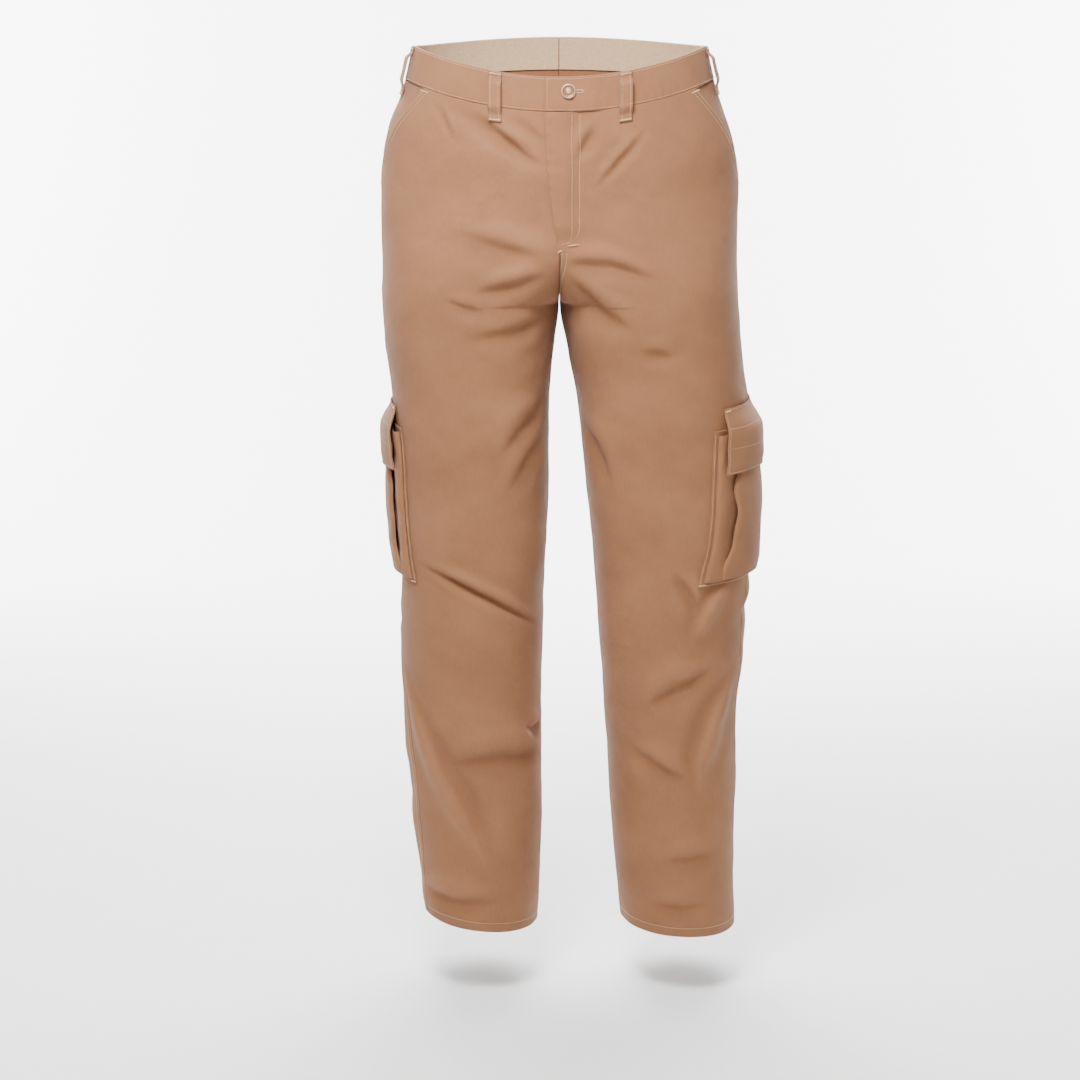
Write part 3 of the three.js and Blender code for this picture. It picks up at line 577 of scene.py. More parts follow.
def dense(values, count=240):
    values = np.asarray(values, float)
    return np.interp(np.linspace(0, 1, count), np.linspace(0, 1, len(values)), values)


def row_of_stitches(side, mm, drop, out=0.0):
    """A line of topstitching through some places of the garment."""
    mm, drop, out = dense(mm), dense(drop), dense(np.atleast_1d(out))
    points, normal = lying(side, mm, drop, out + 0.12)
    return along_line(points, normal, STITCH["pitch"], STITCH["length"])


def bartack(side, mm, drop, out=0.0):
    """A short dense bar of thread between two places."""
    mm, drop = dense(mm, 12), dense(drop, 12)
    points, normal = lying(side, mm, drop, out + 0.2)
    return along_line(points, normal, BARTACK["pitch"], BARTACK["width"], crosswise=True)


def thread(name, lines, body="root", bend=None):
    """One mesh of all the stitches of some lines, each a small pointed bead of thread."""
    centre, half, normal = (np.concatenate([line[k] for line in lines]) for k in range(3))
    beside = np.cross(normal, unit(half)) * STITCH["half_width"]
    above = normal * STITCH["half_height"]
    corners = [centre + half, centre - half, centre + beside, centre - beside, centre + above, centre - above]
    points = np.stack(corners, 1).reshape(-1, 3)
    bead = np.array([
        (0, 2, 4), (2, 1, 4), (1, 3, 4), (3, 0, 4),
        (2, 0, 5), (1, 2, 5), (3, 1, 5), (0, 3, 5),
    ])
    faces = (bead[None] + 6 * np.arange(len(centre))[:, None, None]).reshape(-1, 3)
    return settle(add_mesh(name, points, faces.tolist(), THREAD), body=body, bend=bend)


# ---- Materials ----
class Paint:
    """A material's node tree, built up from short calls."""

    def __init__(self, name):
        self.material = bpy.data.materials.new(name)
        self.material.use_nodes = True
        self.tree = self.material.node_tree
        self.shader = self.tree.nodes["Principled BSDF"]

    def node(self, kind, settings=None, **inputs):
        made = self.tree.nodes.new("ShaderNode" + kind)
        for key, value in (settings or {}).items():
            setattr(made, key, value)
        for key, value in inputs.items():
            self.put(made.inputs[key.replace("_", " ")], value)
        return made

    def put(self, socket, value):
        if isinstance(value, bpy.types.NodeSocket):
            self.tree.links.new(value, socket)
        else:
            socket.default_value = value

    def surface(self, **inputs):
        for key, value in inputs.items():
            self.put(self.shader.inputs[key.replace("_", " ")], value)

    def ramp(self, factor, stops):
        """A colour for each value of a factor: stops are (place, colour)."""
        ramp = self.node("ValToRGB", Fac=factor)
        elements = ramp.color_ramp.elements
        while len(elements) < len(stops):
            elements.new(0.5)
        for element, (place, colour) in zip(elements, stops):
            element.position = place
            element.color = (*colour, 1)
        return ramp.outputs["Color"]

    def blend(self, a, b, factor=1.0, how="MULTIPLY"):
        mixed = self.node("MixRGB", {"blend_type": how}, Fac=factor, Color1=a, Color2=b)
        return mixed.outputs["Color"]

    def noise(self, where, scale, detail=3.0, roughness=0.6):
        made = self.node("TexNoise", Vector=where, Scale=scale, Detail=detail, Roughness=roughness)
        return made.outputs["Fac"]

    def bands(self, where, turn, pitch):
        """Parallel lines at a pitch in metres, turned by an angle in radians."""
        turned = self.node("Mapping", Vector=where, Rotation=(0, 0, turn)).outputs["Vector"]
        settings = {"wave_type": "BANDS", "bands_direction": "X", "wave_profile": "SIN"}
        made = self.node("TexWave", settings, Vector=turned, Scale=np.pi / (10 * pitch), Distortion=0.0)
        return made.outputs["Fac"]

    def bump(self, height, distance, strength=1.0, under=None):
        made = self.node("Bump", Height=height, Distance=distance, Strength=strength)
        if under is not None:
            self.put(made.inputs["Normal"], under)
        return made.outputs["Normal"]

    def cloth_places(self):
        return self.node("UVMap", {"uv_map": "cloth"}).outputs["UV"]

    def solid_places(self):
        return self.node("TexCoord").outputs["Object"]


def grey(value):
    return (value, value, value)


# Twill colours: the middle one is the cloth's own, the darker is painted shade for fold valleys, the paler a
# painted highlight for fold ridges.
TWILL_PAINTED_SHADE = (0.236, 0.104, 0.048)
TWILL_MID = (0.262, 0.117, 0.055)
TWILL_PAINTED_HIGHLIGHT = (0.292, 0.133, 0.064)


def twill(name):
    """Brushed cotton twill: steep diagonal ribs, flecks in the yarn, with painted shade in the folds' valleys
    and a painted highlight on their ridges.
    """
    paint = Paint(name)
    where = paint.cloth_places()
    # The relief (the cloth's height off the bare surface) picks the colour: painted shade where it sinks,
    # painted highlight where it stands up.
    height = paint.node("Attribute", {"attribute_name": "relief"}).outputs["Fac"]
    share = paint.node("MapRange", Value=height, From_Min=-3.0, From_Max=3.0).outputs["Result"]
    stops = [(0.05, TWILL_PAINTED_SHADE), (0.5, TWILL_MID), (0.95, TWILL_PAINTED_HIGHLIGHT)]
    colour = paint.ramp(share, stops)
    flecks = paint.ramp(paint.noise(where, 1500, 4, 0.7), [(0.3, grey(0.84)), (0.7, grey(1.1))])
    fading = paint.ramp(paint.noise(where, 16, 4), [(0.3, (0.93, 0.92, 0.91)), (0.7, (1.05, 1.06, 1.07))])
    slubs = paint.noise(paint.node("Mapping", Vector=where, Scale=(1800, 90, 1)).outputs["Vector"], 1, 2)
    slub_tint = paint.ramp(slubs, [(0.35, grey(0.94)), (0.65, grey(1.04))])
    ribs = paint.bands(where, np.radians(-27), 0.0009)
    yarns = paint.bands(where, np.radians(90), 0.00055)
    rib_tint = paint.ramp(ribs, [(0.0, grey(0.9)), (0.6, grey(1.03))])
    for tint in (flecks, fading, slub_tint, rib_tint):
        colour = paint.blend(colour, tint)
    creased = paint.bump(paint.noise(where, 38, 5, 0.6), 0.0022, 0.6)
    napped = paint.bump(paint.noise(where, 900, 3), 0.00018, 0.5, creased)
    ribbed = paint.bump(ribs, 0.00016, 0.75, napped)
    woven = paint.bump(yarns, 0.00007, 0.6, ribbed)
    rough = paint.ramp(flecks, [(0.0, grey(0.9)), (1.0, grey(0.74))])
    paint.surface(Base_Color=colour, Roughness=rough, Normal=woven, Sheen_Weight=0.06, Sheen_Roughness=0.5)
    paint.surface(Specular_IOR_Level=0.12)
    return paint.material


def plain_weave(name, dark, light, pitch, rough=0.85):
    """A plain weave of two crossing yarns."""
    paint = Paint(name)
    where = paint.cloth_places()
    warp = paint.bands(where, 0.0, pitch)
    weft = paint.bands(where, np.radians(90), pitch)
    crossing = paint.blend(warp, weft, 1.0, "DIFFERENCE")
    colour = paint.ramp(paint.noise(where, 300, 4), [(0.3, dark), (0.7, light)])
    colour = paint.blend(colour, paint.ramp(crossing, [(0.0, grey(0.86)), (1.0, grey(1.04))]))
    soft = paint.bump(paint.noise(where, 60, 4), 0.0008, 0.5)
    woven = paint.bump(crossing, 0.00012, 0.8, soft)
    paint.surface(Base_Color=colour, Roughness=rough, Normal=woven, Sheen_Weight=0.2, Specular_IOR_Level=0.25)
    return paint.material


def twisted_thread(name):
    """Sewing thread: cream, with a sheen and a fine twist."""
    paint = Paint(name)
    where = paint.solid_places()
    twist = paint.bands(where, np.radians(40), 0.0006)
    colour = paint.ramp(paint.noise(where, 700), [(0.3, (0.60, 0.39, 0.22)), (0.7, (0.76, 0.53, 0.32))])
    paint.surface(Base_Color=colour, Roughness=0.55, Normal=paint.bump(twist, 0.0001, 0.7), Sheen_Weight=0.1)
    return paint.material


def hook_cloth(name):
    """The hook side of hook and loop tape: rows of stiff hooks on a woven ground."""
    paint = Paint(name)
    where = paint.cloth_places()
    voronoi = paint.node("TexVoronoi", {"feature": "F1"}, Vector=where, Scale=900.0, Randomness=0.25)
    hooks = voronoi.outputs["Distance"]
    colour = paint.ramp(hooks, [(0.1, (0.52, 0.33, 0.21)), (0.6, (0.30, 0.17, 0.10))])
    paint.surface(Base_Color=colour, Roughness=0.6, Normal=paint.bump(hooks, -0.0006, 1.0))
    return paint.material


def brass(name):
    """Satin brass with fine scratches and random darker, duller patches of tarnish."""
    paint = Paint(name)
    where = paint.solid_places()
    brushed = paint.node("Mapping", Vector=where, Scale=(3000, 300, 300)).outputs["Vector"]
    scratches = paint.noise(brushed, 1, 3)
    tarnish = paint.noise(where, 420, 4)
    colour = paint.ramp(tarnish, [(0.35, (0.42, 0.27, 0.11)), (0.65, (0.72, 0.52, 0.24))])
    rough = paint.ramp(tarnish, [(0.3, grey(0.48)), (0.7, grey(0.3))])
    scratched = paint.bump(scratches, 0.00003, 0.6)
    paint.surface(Base_Color=colour, Metallic=1.0, Roughness=rough, Normal=scratched)
    return paint.material


def button_cast(name):
    """The waist button: bronzed, with a painted highlight on its rim and on the disc in its middle."""
    paint = Paint(name)
    where = paint.solid_places()
    middle = front_point(BUTTON["x"], BUTTON_Z, BUTTON_SEAT + 2) * METRE
    away = paint.node("VectorMath", {"operation": "DISTANCE"})
    paint.put(away.inputs[0], where)
    paint.put(away.inputs[1], tuple(middle))
    share = paint.node("MapRange", Value=away.outputs["Value"], From_Min=0.0, From_Max=0.009)
    # Colour by distance from the middle: the pale stops are a painted highlight on the rim and on the raised
    # disc, the dark stops the button's body.
    pale, dark = (0.58, 0.40, 0.24), (0.27, 0.13, 0.065)
    stops = [(0.26, pale), (0.33, dark), (0.74, dark), (0.80, pale), (0.87, pale), (0.93, dark)]
    mottle = paint.ramp(paint.noise(where, 900, 4), [(0.3, grey(0.8)), (0.7, grey(1.1))])
    colour = paint.blend(paint.ramp(share.outputs["Result"], stops), mottle)
    worn = paint.noise(where, 1600, 3)
    rough = paint.ramp(worn, [(0.3, grey(0.42)), (0.7, grey(0.3))])
    paint.surface(Base_Color=colour, Roughness=rough, Metallic=0.35, Normal=paint.bump(worn, 0.00006, 0.5))
    return paint.material


TWILL = twill("twill")
POCKETING = plain_weave("pocketing", (0.50, 0.33, 0.19), (0.62, 0.43, 0.26), 0.0007)
TAPE_CLOTH = plain_weave("woven_tape", (0.21, 0.105, 0.055), (0.28, 0.145, 0.078), 0.0009, 0.8)
THREAD = twisted_thread("thread")
HOOKS = hook_cloth("hook_tape")
BRASS = brass("brass")


# ---- The fly ----
FOLD_FOOT = np.array([1.6, -120.95, -209.29])  # a point of the line that the fly folds on
FOLD_RIGHT = np.array([-1.0, 0.0, 0.1635])  # square to that line, towards the free edge
BAND_RIGHT = np.array([-1.0, -0.6, 0.2055])  # square to it too, and clear of the back of the waistband


def bend_over(direction):
    """Where cloth starts and stops bending, going towards the fly's free edge."""
    heading = direction / np.linalg.norm(direction)
    return tuple((FOLD_FOOT + heading * reach) * METRE for reach in (0.8, 8.0))


FLY_BEND = bend_over(FOLD_RIGHT)
BAND_BEND = bend_over(BAND_RIGHT)


def overlap_x(z):
    return -FLY["edge"] * smooth(z, -FLY["bottom"] - 12, -FLY["bottom"] + 150) ** 0.4


def zip_edge_x(z):
    return (ZIP["x"] - ZIP["half"] - 4) * smooth(z, -FLY["bottom"] + 8, -FLY["bottom"] + 32)


def overlap_lift(x, z):
    """How far the left front stands off the surface to pass over the zip."""
    over_right = lerp(FLY_LIFT["edge"], FLY_LIFT["zip"], smooth(x, -13, ZIP["x"] - 4.4))
    lift = lerp(over_right, FLY_LIFT["flat"], smooth(x, 3.5, FLY["facing"]))
    return lift * (1 - smooth(x, FLY["facing"], FLY["fade"])) * smooth(z, -FLY["bottom"], -FLY["bottom"] + 22)


def drop_at(z):
    """The drop on the front centre line at a height."""
    drops = np.linspace(0, 320, 400)
    return np.interp(-np.asarray(z, float), -centre_z(drops), drops)


def left_front_out(mm, drop):
    x = row_length(1, 1, drop) - mm
    pucker = 0.35 * np.sin(drop / 3.1) * np.exp(-((x + 12) / 7) ** 2)
    return (overlap_lift(x, centre_z(drop)) + pucker) * (drop < FRONT_CURVE + 8) * (x < FLY["fade"] + 5)


# ---- Leg panels ----
SEAM_SLIT = 0.03  # how far each panel stops short of its seam line


def mouth_at(drop):
    return MOUTH["across"] * np.clip((MOUTH["bottom"] - drop) / (MOUTH["bottom"] - SEAM), 0, 1)


def mouth_out(mm, drop):
    """The pocket mouth's edge stands a little off the hip, most in its middle."""
    middle = np.sin(np.pi * np.clip((drop - SEAM) / (MOUTH["bottom"] - SEAM), 0, 1))
    return 1.6 * middle * np.exp(-np.maximum(mm - mouth_at(drop), 0) / 9)


def front_out(side, mm, drop):
    """How far a front panel stands off the surface, at its pocket mouth and, on the left, over the zip."""
    lift = left_front_out(mm, drop) if side > 0 else 0
    return lift + mouth_out(mm, drop)


def panel_drops(side):
    hem = HEM[side][0]
    rows = HALVES[side].drops
    rows = rows[(rows > SEAM + 5) & (rows < hem - 15)]
    turn_up = hem - np.array([14, 12.6, 11.4, 8, 4.5, 2.8, 1.3, 0.5, 0])
    return np.concatenate([SEAM + EDGE_STEPS, rows, turn_up])


def panel_thick(side, drop):
    """The cloth's thickness down a panel, doubled where the hem is turned up."""
    return CLOTH + 1.1 * smooth(drop, HEM[side][0] - 12.5, HEM[side][0] - 11.5)


def panel(side, face, start, end, out):
    drops = panel_drops(side)
    mm = spread(start(drops), end(drops), 2.9)
    drop = drops[:, None]
    name = f"cloth_{'front' if face > 0 else 'back'}_{SIDE[side]}"
    return cloth(name, side, mm, drop, out(mm, drop), panel_thick(side, drop), TWILL)


def front_panel(side):
    def start(drop):
        return mouth_at(drop) + SEAM_SLIT

    def end(drop):
        z = centre_z(drop)
        reach = -overlap_x(z) if side > 0 else zip_edge_x(z)
        return row_length(side, 1, drop) - SEAM_SLIT + reach * (drop < FRONT_CURVE + 8)

    obj = panel(side, 1, start, end, lambda mm, drop: front_out(side, mm, drop))
    if side > 0:
        settle(obj, "front_panel_left", "fly_overlap_left", body="fly_flap", bend=FLY_BEND)
    else:
        settle(obj, "front_panel_right")


def back_panel(side):
    obj = panel(
        side, -1,
        lambda drop: -SEAM_SLIT + 0 * drop,
        lambda drop: -row_length(side, -1, drop) + SEAM_SLIT,
        lambda mm, drop: 0 * mm * drop,
    )
    settle(obj, f"back_panel_{SIDE[side]}")


# ---- Waistband ----
def band_mm(side, drops, reach):
    return spread(-row_length(side, -1, drops) + GAP / 2, row_length(side, 1, drops) + reach, 2.4)


def band_out(side, mm, drop):
    """The band is a little fuller between its two seams, and puckers along them."""
    height = BAND["height"]
    full = 0.45 * np.sin(np.pi * np.clip(drop / height, 0, 1)) ** 0.6
    near_seam = np.exp(-((drop - height + 5) / 7) ** 2) + 0.5 * np.exp(-((drop - 4) / 5) ** 2)
    pucker = 0.22 * np.sin(mm / 1.9 + 2 * np.sin(mm / 17)) * near_seam
    lift = 0
    if side > 0:
        x = row_length(1, 1, drop) - mm
        lift = BAND["lift"] * (1 - smooth(x, FLY["fold_top"], BAND["lift_end"]))
    return full + pucker + lift


def waistband(side):
    drops = spread(0, BAND["height"], 2.8)[0]
    reach = FLY["edge"] if side > 0 else UNDERLAP
    mm, drop = band_mm(side, drops, reach), drops[:, None]
    out = band_out(side, mm, drop)
    band = cloth(f"cloth_waistband_{SIDE[side]}", side, mm, drop, out, BAND["thick"], TWILL)
    inner = band_mm(side, drops, reach - 1.5)
    sunk = band_out(side, inner, drop) - BAND["thick"] - GAP
    lining = cloth(f"waist_lining_{SIDE[side]}", side, inner, drop, sunk, BAND["lining"], POCKETING)
    if side > 0:
        motion = {"body": "fly_flap", "bend": BAND_BEND}
        settle(band, "waistband_left", "waistband_end_left", **motion)
        settle(lining, "waistband_lining_left", "waistband_end_lining", **motion)
    else:
        settle(band, "waistband_right")
        settle(lining, "waistband_lining_right")


BUTTON_Z = -FRONT_DIP - BUTTON["below"]
BUTTON_SEAT = 3.95  # how far the button's back stands off the plane of the fly
BUTTON_PROFILE = [  # radius and rise
    (0, 0), (6.6, 0), (7.7, 0.35), (8.2, 1.0), (8.2, 1.7), (7.8, 2.35), (7.1, 2.6), (6.4, 2.45),
    (5.9, 2.0), (5.6, 1.75), (3.9, 1.7), (3.5, 1.85), (3.2, 2.2), (2.7, 2.35), (1.2, 2.4), (0, 2.4),
]
TURNS = 64


def waist_button():
    """The button, turned: a rounded rim, a sunk ring and a raised disc in the middle."""
    angle = np.linspace(0, 2 * np.pi, TURNS, endpoint=False)
    radius, rise = np.array(BUTTON_PROFILE).T
    inner = slice(1, -1)
    x = BUTTON["x"] + radius[inner, None] * np.cos(angle)
    z = BUTTON_Z + radius[inner, None] * np.sin(angle)
    rings = front_point(x, z, BUTTON_SEAT + rise[inner, None])
    ends = front_point(BUTTON["x"], BUTTON_Z, BUTTON_SEAT + rise[[0, -1]])
    count = len(rings)
    index = np.arange(count * TURNS).reshape(count, TURNS)
    faces = quads(np.concatenate([index, index[:, :1]], axis=1)).tolist()
    for hub, ring in ((count * TURNS, index[0]), (count * TURNS + 1, index[-1][::-1])):
        faces += [[hub, int(a), int(b)] for a, b in zip(ring, np.roll(ring, -1))]
    points = np.concatenate([rings.reshape(-1, 3), ends])
    settle(add_mesh("button_on_band", points, faces, button_cast("button_cast")), "waist_button")


def button_shank():
    """Thread wound round the button's shank, from the band to the button's back."""
    angle = 9 * np.linspace(0, 2 * np.pi, 60)
    rise = np.linspace(0.3, BUTTON_SEAT - 0.2, 60)
    wound = front_point(BUTTON["x"] + np.cos(angle), BUTTON_Z + np.sin(angle), rise)
    outward = unit(wound - front_point(BUTTON["x"], BUTTON_Z, 2.0))
    shank = thread("button_thread", [along_line(wound, outward, 0.5, 1.6)])
    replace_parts(shank, "button_thread_shank")


BUTTONHOLE = {"start": 7, "end": 23.5, "half": 1.5, "out": 3.95}
BUTTONHOLE_STITCH = {"pitch": 0.7, "length": 1.7, "crosswise": True}


def buttonhole():
    """A close row of stitches round a slot, from under the button to beyond its rim."""
    start, end, half, out = (BUTTONHOLE[key] for key in ("start", "end", "half", "out"))
    turn = np.linspace(np.pi / 2, -np.pi / 2, 14)
    x = np.concatenate([[start], end + half * np.cos(turn), [start]])
    z = BUTTON_Z + np.concatenate([[half], half * np.sin(turn), [-half]])
    edge = front_point(dense(x, 60), dense(z, 60), out)
    outward = np.broadcast_to(front_point(0, 0, 1) - front_point(0, 0, 0), edge.shape)
    line = along_line(edge, outward, **BUTTONHOLE_STITCH)
    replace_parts(thread("buttonhole_stitches", [line], body="fly_flap", bend=BAND_BEND), "waist_buttonhole")


# ---- Behind the fly ----
ZIP_OUT = -CLOTH - GAP - ZIP["tape_thick"] / 2
BAND_Z = -FRONT_DIP - BAND["height"]
ZIP_TOP = BAND_Z - ZIP["top"]
ZIP_BOTTOM = ZIP_TOP - ZIP["length"]


def fly_facing():
    drops = spread(SEAM + 1.2, drop_at(-207), 3.2)[0]
    x_end = overlap_x(centre_z(drops))
    length = row_length(1, 1, drops)
    fold = FLY["fold_top"] * np.clip((centre_z(drops) + FLY["bottom"]) / (FLY["bottom"] - FRONT_DIP), 0, 1)
    mm = spread(length - fold + 1, length - x_end - 0.8, 2.6)
    drop = drops[:, None]
    out = left_front_out(mm, drop) - CLOTH - GAP
    obj = cloth("fly_facing_cloth", 1, mm, drop, out, 1.0, POCKETING)
    settle(obj, "fly_facing_left", body="fly_flap", bend=FLY_BEND)


def fly_shield():
    drops = spread(SEAM, SHIELD["bottom"], 3.2)[0]
    length = row_length(-1, 1, drops)
    mm, drop = spread(length + SHIELD["from"], length + SHIELD["to"], 2.6), drops[:, None]
    x = mm - length[:, None]
    behind_zip = ZIP_OUT - ZIP["thick"] / 2 - 2 * GAP - SLIDER_PLATE
    out = lerp(-CLOTH - GAP, behind_zip, smooth(x, -19, -9) * smooth(drop, SEAM - 2, SEAM + 4))
    obj = cloth("fly_shield_cloth", -1, mm, drop, out, SHIELD["thick"], TWILL)
    settle(obj, "fly_shield")


def zip_tape(side):
    near = ZIP["x"] + side * (ZIP["half"] + GAP)
    x = spread(near, near + side * ZIP["tape"], 1.5)
    z = spread(ZIP_BOTTOM - 8, BAND_Z - GAP - 1, 3)[0][:, None]
    half = ZIP["tape_thick"] / 2
    cord = 0.25 * np.exp(-(((x - near) * side - 1.2) / 0.8) ** 2)
    face, back = front_point(x, z, ZIP_OUT + half + cord), front_point(x, z, ZIP_OUT - half)
    uv = np.stack(np.broadcast_arrays(x, z), -1)
    obj = shell(f"zip_tape_cloth_{SIDE[side]}", face, back, TAPE_CLOTH, uv, np.zeros(uv.shape[:2]))
    settle(obj, f"zip_tape_{SIDE[side]}")


def zip_metal():
    for name in ("zip_teeth_left", "zip_teeth_right", "zip_slider", "zip_pull_tab", "zip_bottom_stop"):
        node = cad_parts[name]
        for k in range(max(len(node.material_slots), 1)):
            if not node.material_slots:
                node.data.materials.append(BRASS)
            node.material_slots[k].material = BRASS


# ---- Belt loops ----
LOOP_ROW = 4.4  # how far a loop's rows of stitches lie from its middle


def loop_profile(drop):
    """How far a belt loop stands off the band down its length."""
    bottom = BAND["height"] + LOOP["below"]
    top = LOOP["top"] + LOOP["foot"] - 2
    low = bottom - LOOP["foot"]
    rise = smooth(drop, top, top + 8) * (1 - smooth(drop, low - 9, low + 1))
    return lerp(GAP + 0.2, 0.8 * LOOP["clear"], rise)


def belt_loop(name, side, centre, node):
    drops = spread(LOOP["top"], BAND["height"] + LOOP["below"], 2)[0]
    across = spread(-LOOP["half"], LOOP["half"], 1.6)
    mm, drop = centre(drops)[:, None] + across, drops[:, None]
    from_middle = np.abs(across)
    ridges = 0.35 * np.exp(-((from_middle - 5.9) / 1.1) ** 2)
    ridges = ridges - 0.3 * np.exp(-((from_middle - LOOP_ROW) / 0.7) ** 2)
    out = LOOP["thick"] + loop_profile(drop) + ridges
    settle(cloth(name, side, mm, drop, out, LOOP["thick"], TWILL), node)
    return loop_stitches(side, centre)


def loop_stitches(side, centre):
    bottom = BAND["height"] + LOOP["below"]
    drop = np.linspace(LOOP["top"] + 1.5, bottom - 1.5, 80)
    out = LOOP["thick"] + loop_profile(drop)
    rows = [row_of_stitches(side, centre(drop) + across, drop, out) for across in (-LOOP_ROW, LOOP_ROW)]
    bars = []
    for at in (LOOP["top"] + 2.2, bottom - 2.2):
        middle = float(centre(np.array([at]))[0])
        rise = LOOP["thick"] + float(loop_profile(np.array([at]))[0])
        bars.append(bartack(side, [middle - 6.6, middle + 6.6], [at, at], rise))
    return rows + bars


def belt_loops():
    lines = []
    for side in (1, -1):
        places = {
            "front": lambda drop: row_length(side, 1, drop) - LOOPS["front"],
            "side": lambda drop: LOOPS["side"] + 0 * drop,
            "back": lambda drop: LOOPS["back"] + 0 * drop,
        }
        for place_name, centre in places.items():
            node = f"belt_loop_{place_name}_{SIDE[side]}"
            lines += belt_loop(f"loop_{place_name}_{SIDE[side]}", side, centre, node)
    lines += belt_loop("loop_back_centre", 1, lambda drop: -row_length(1, -1, drop), "belt_loop_back_centre")
    thread("thread_belt_loops", lines)


# ---- Pockets ----
def hand_pocket(side):
    drops = spread(SEAM, MOUTH["bottom"] + 14, 3.2)[0]
    mm = spread(0.6 + 0 * drops, mouth_at(drops) + MOUTH["facing"], 2.8)
    drop = drops[:, None]
    share = mm / (mouth_at(drop) + 4)
    out = lerp(-0.35, -CLOTH - LAY_GAP, smooth(share, 0.15, 0.8))
    facing = cloth(f"pocket_facing_{SIDE[side]}", side, mm, drop, out, 1.0, TWILL)
    settle(facing, f"hand_pocket_facing_{SIDE[side]}")
    drops = spread(SEAM, BAG["bottom"], 4)[0]
    corner = 26 * smooth(drops, BAG["bottom"] - 30, BAG["bottom"]) ** 2
    mm, drop = spread(BAG["outer"] + corner, BAG["inner"] - corner, 4), drops[:, None]
    out = -CLOTH - LAY_GAP - 1 - GAP + sway(mm, drop, 31 + side, 0.25, 45) - 0.3
    bag = cloth(f"pocket_bag_{SIDE[side]}", side, mm, drop, out, BAG["thick"], POCKETING)
    settle(bag, f"hand_pocket_bag_{SIDE[side]}")


def back_pocket_edges(drop):
    share = np.clip((drop - BACK_POCKET["bottom"] + BACK_POCKET["point"]) / BACK_POCKET["point"], 0, 1)
    narrow = BACK_POCKET["narrow"] * share
    return -BACK_POCKET["from"] - narrow, -BACK_POCKET["to"] + narrow


def back_pocket(side):
    """A patch pocket with a pointed foot, its mouth a little slack."""
    drops = spread(BACK_POCKET["top"], BACK_POCKET["bottom"], 3)[0]
    near, far = back_pocket_edges(drops)
    mm, drop = spread(near, far, 3), drops[:, None]
    across = np.sin(np.pi * np.clip((mm - near[:, None]) / (far - near - 1e-6)[:, None], 0, 1))
    down = smooth(drop, BACK_POCKET["bottom"], BACK_POCKET["top"])
    out = CLOTH + 0.5 + 2.2 * across * down + sway(mm, drop, 41 + side, 0.2, 40) * across
    obj = cloth(f"pocket_back_{SIDE[side]}", side, mm, drop, out, CLOTH, TWILL)
    settle(obj, f"back_pocket_{SIDE[side]}")


def back_pocket_hem(side):
    """The row of stitches across a back pocket below its mouth."""
    near, far, top = -BACK_POCKET["from"], -BACK_POCKET["to"], BACK_POCKET["top"]
    across = np.linspace(near - 2, far + 2, 60)
    drop = top + 20 + 0 * across
    share = np.sin(np.pi * (across - near) / (far - near))
    out = CLOTH + 0.55 + 2.2 * share * smooth(drop, BACK_POCKET["bottom"], top)
    return row_of_stitches(side, across, drop, out + sway(across, drop, 41 + side, 0.2, 40) * share)


def back_pocket_stitches(side):
    near, far = -BACK_POCKET["from"], -BACK_POCKET["to"]
    top, bottom, middle, foot = BACK_POCKET["top"], BACK_POCKET["bottom"], (near + far) / 2, 22
    lines = []
    for inset in (1.8, 7.5):
        shoulder, low = bottom - BACK_POCKET["point"] - inset / 3, bottom - inset
        for corner, way in ((near - inset, -1), (far + inset, 1)):
            rise = CLOTH + 0.5 + 0.15 * inset
            lines.append(row_of_stitches(side, [corner, corner], [top + 1, shoulder], rise))
            lines.append(row_of_stitches(side, [corner, middle - way * foot], [shoulder, low], CLOTH + 0.5))
        lines.append(row_of_stitches(side, [middle - foot, middle + foot], [low, low], CLOTH + 0.5))
    lines.append(back_pocket_hem(side))
    for edge, way in ((near, -1), (far, 1)):
        lines.append(bartack(side, [edge + way * 1.5, edge + way * 8], [top + 1.5, top + 8], CLOTH + 0.7))
    return lines


# ---- Cargo pockets ----
CARGO_WIDTH = CARGO["front"] + CARGO["back"]
FACE_HALF = 57  # half the width of the pocket's face, between its two pleats
FACE_MIDDLE = (CARGO["front"] - CARGO["back"]) / 2
FLAP_ROWS = (426, 449)  # drops of the rows of stitches that hold the hook tape


def cargo_slant(mm):
    return CARGO["slant"] * ((mm + CARGO["back"]) / CARGO_WIDTH - 0.5)


def cargo_out(mm, drop):
    """How far the pocket's face stands off the leg: fullest below its middle."""
    across = np.clip((mm + CARGO["back"]) / CARGO_WIDTH, 0, 1)
    down = np.clip((drop - CARGO["top"]) / (CARGO["bottom"] - CARGO["top"]), 0, 1)
    full = 0.35 + 0.65 * np.sin(np.pi * (0.15 + 0.7 * down))
    return 5 + (3 + 8.5 * np.sin(np.pi * across)) * full


def flap_out(mm, drop):
    over_tapes = 3 * GAP + 2 * TAPE["thick"] + CARGO_FLAP["thick"]
    ease = (2 * TAPE["thick"] + GAP) * smooth(drop, TAPE["bottom"], CARGO_FLAP["bottom"] - 2)
    closed = cargo_out(mm, drop) + over_tapes - ease
    full = CARGO_FLAP["top"] + 31
    return lerp(LAY_GAP + CARGO_FLAP["thick"], closed, smooth(drop, CARGO_FLAP["top"], full))


def cargo_cloth(name, side, mm, drop, out, thick, material):
    return cloth(f"{name}_{SIDE[side]}", side, mm, drop + cargo_slant(mm), out, thick, material)


def pleat_edge(side, drop):
    """The wavy edge of the pocket's face where it folds over the pleat."""
    return FACE_HALF + 2.2 * np.sin(drop / 13 + side) + 1.4 * np.sin(drop / 7.1) + 5 * smooth(drop, 560, 604)


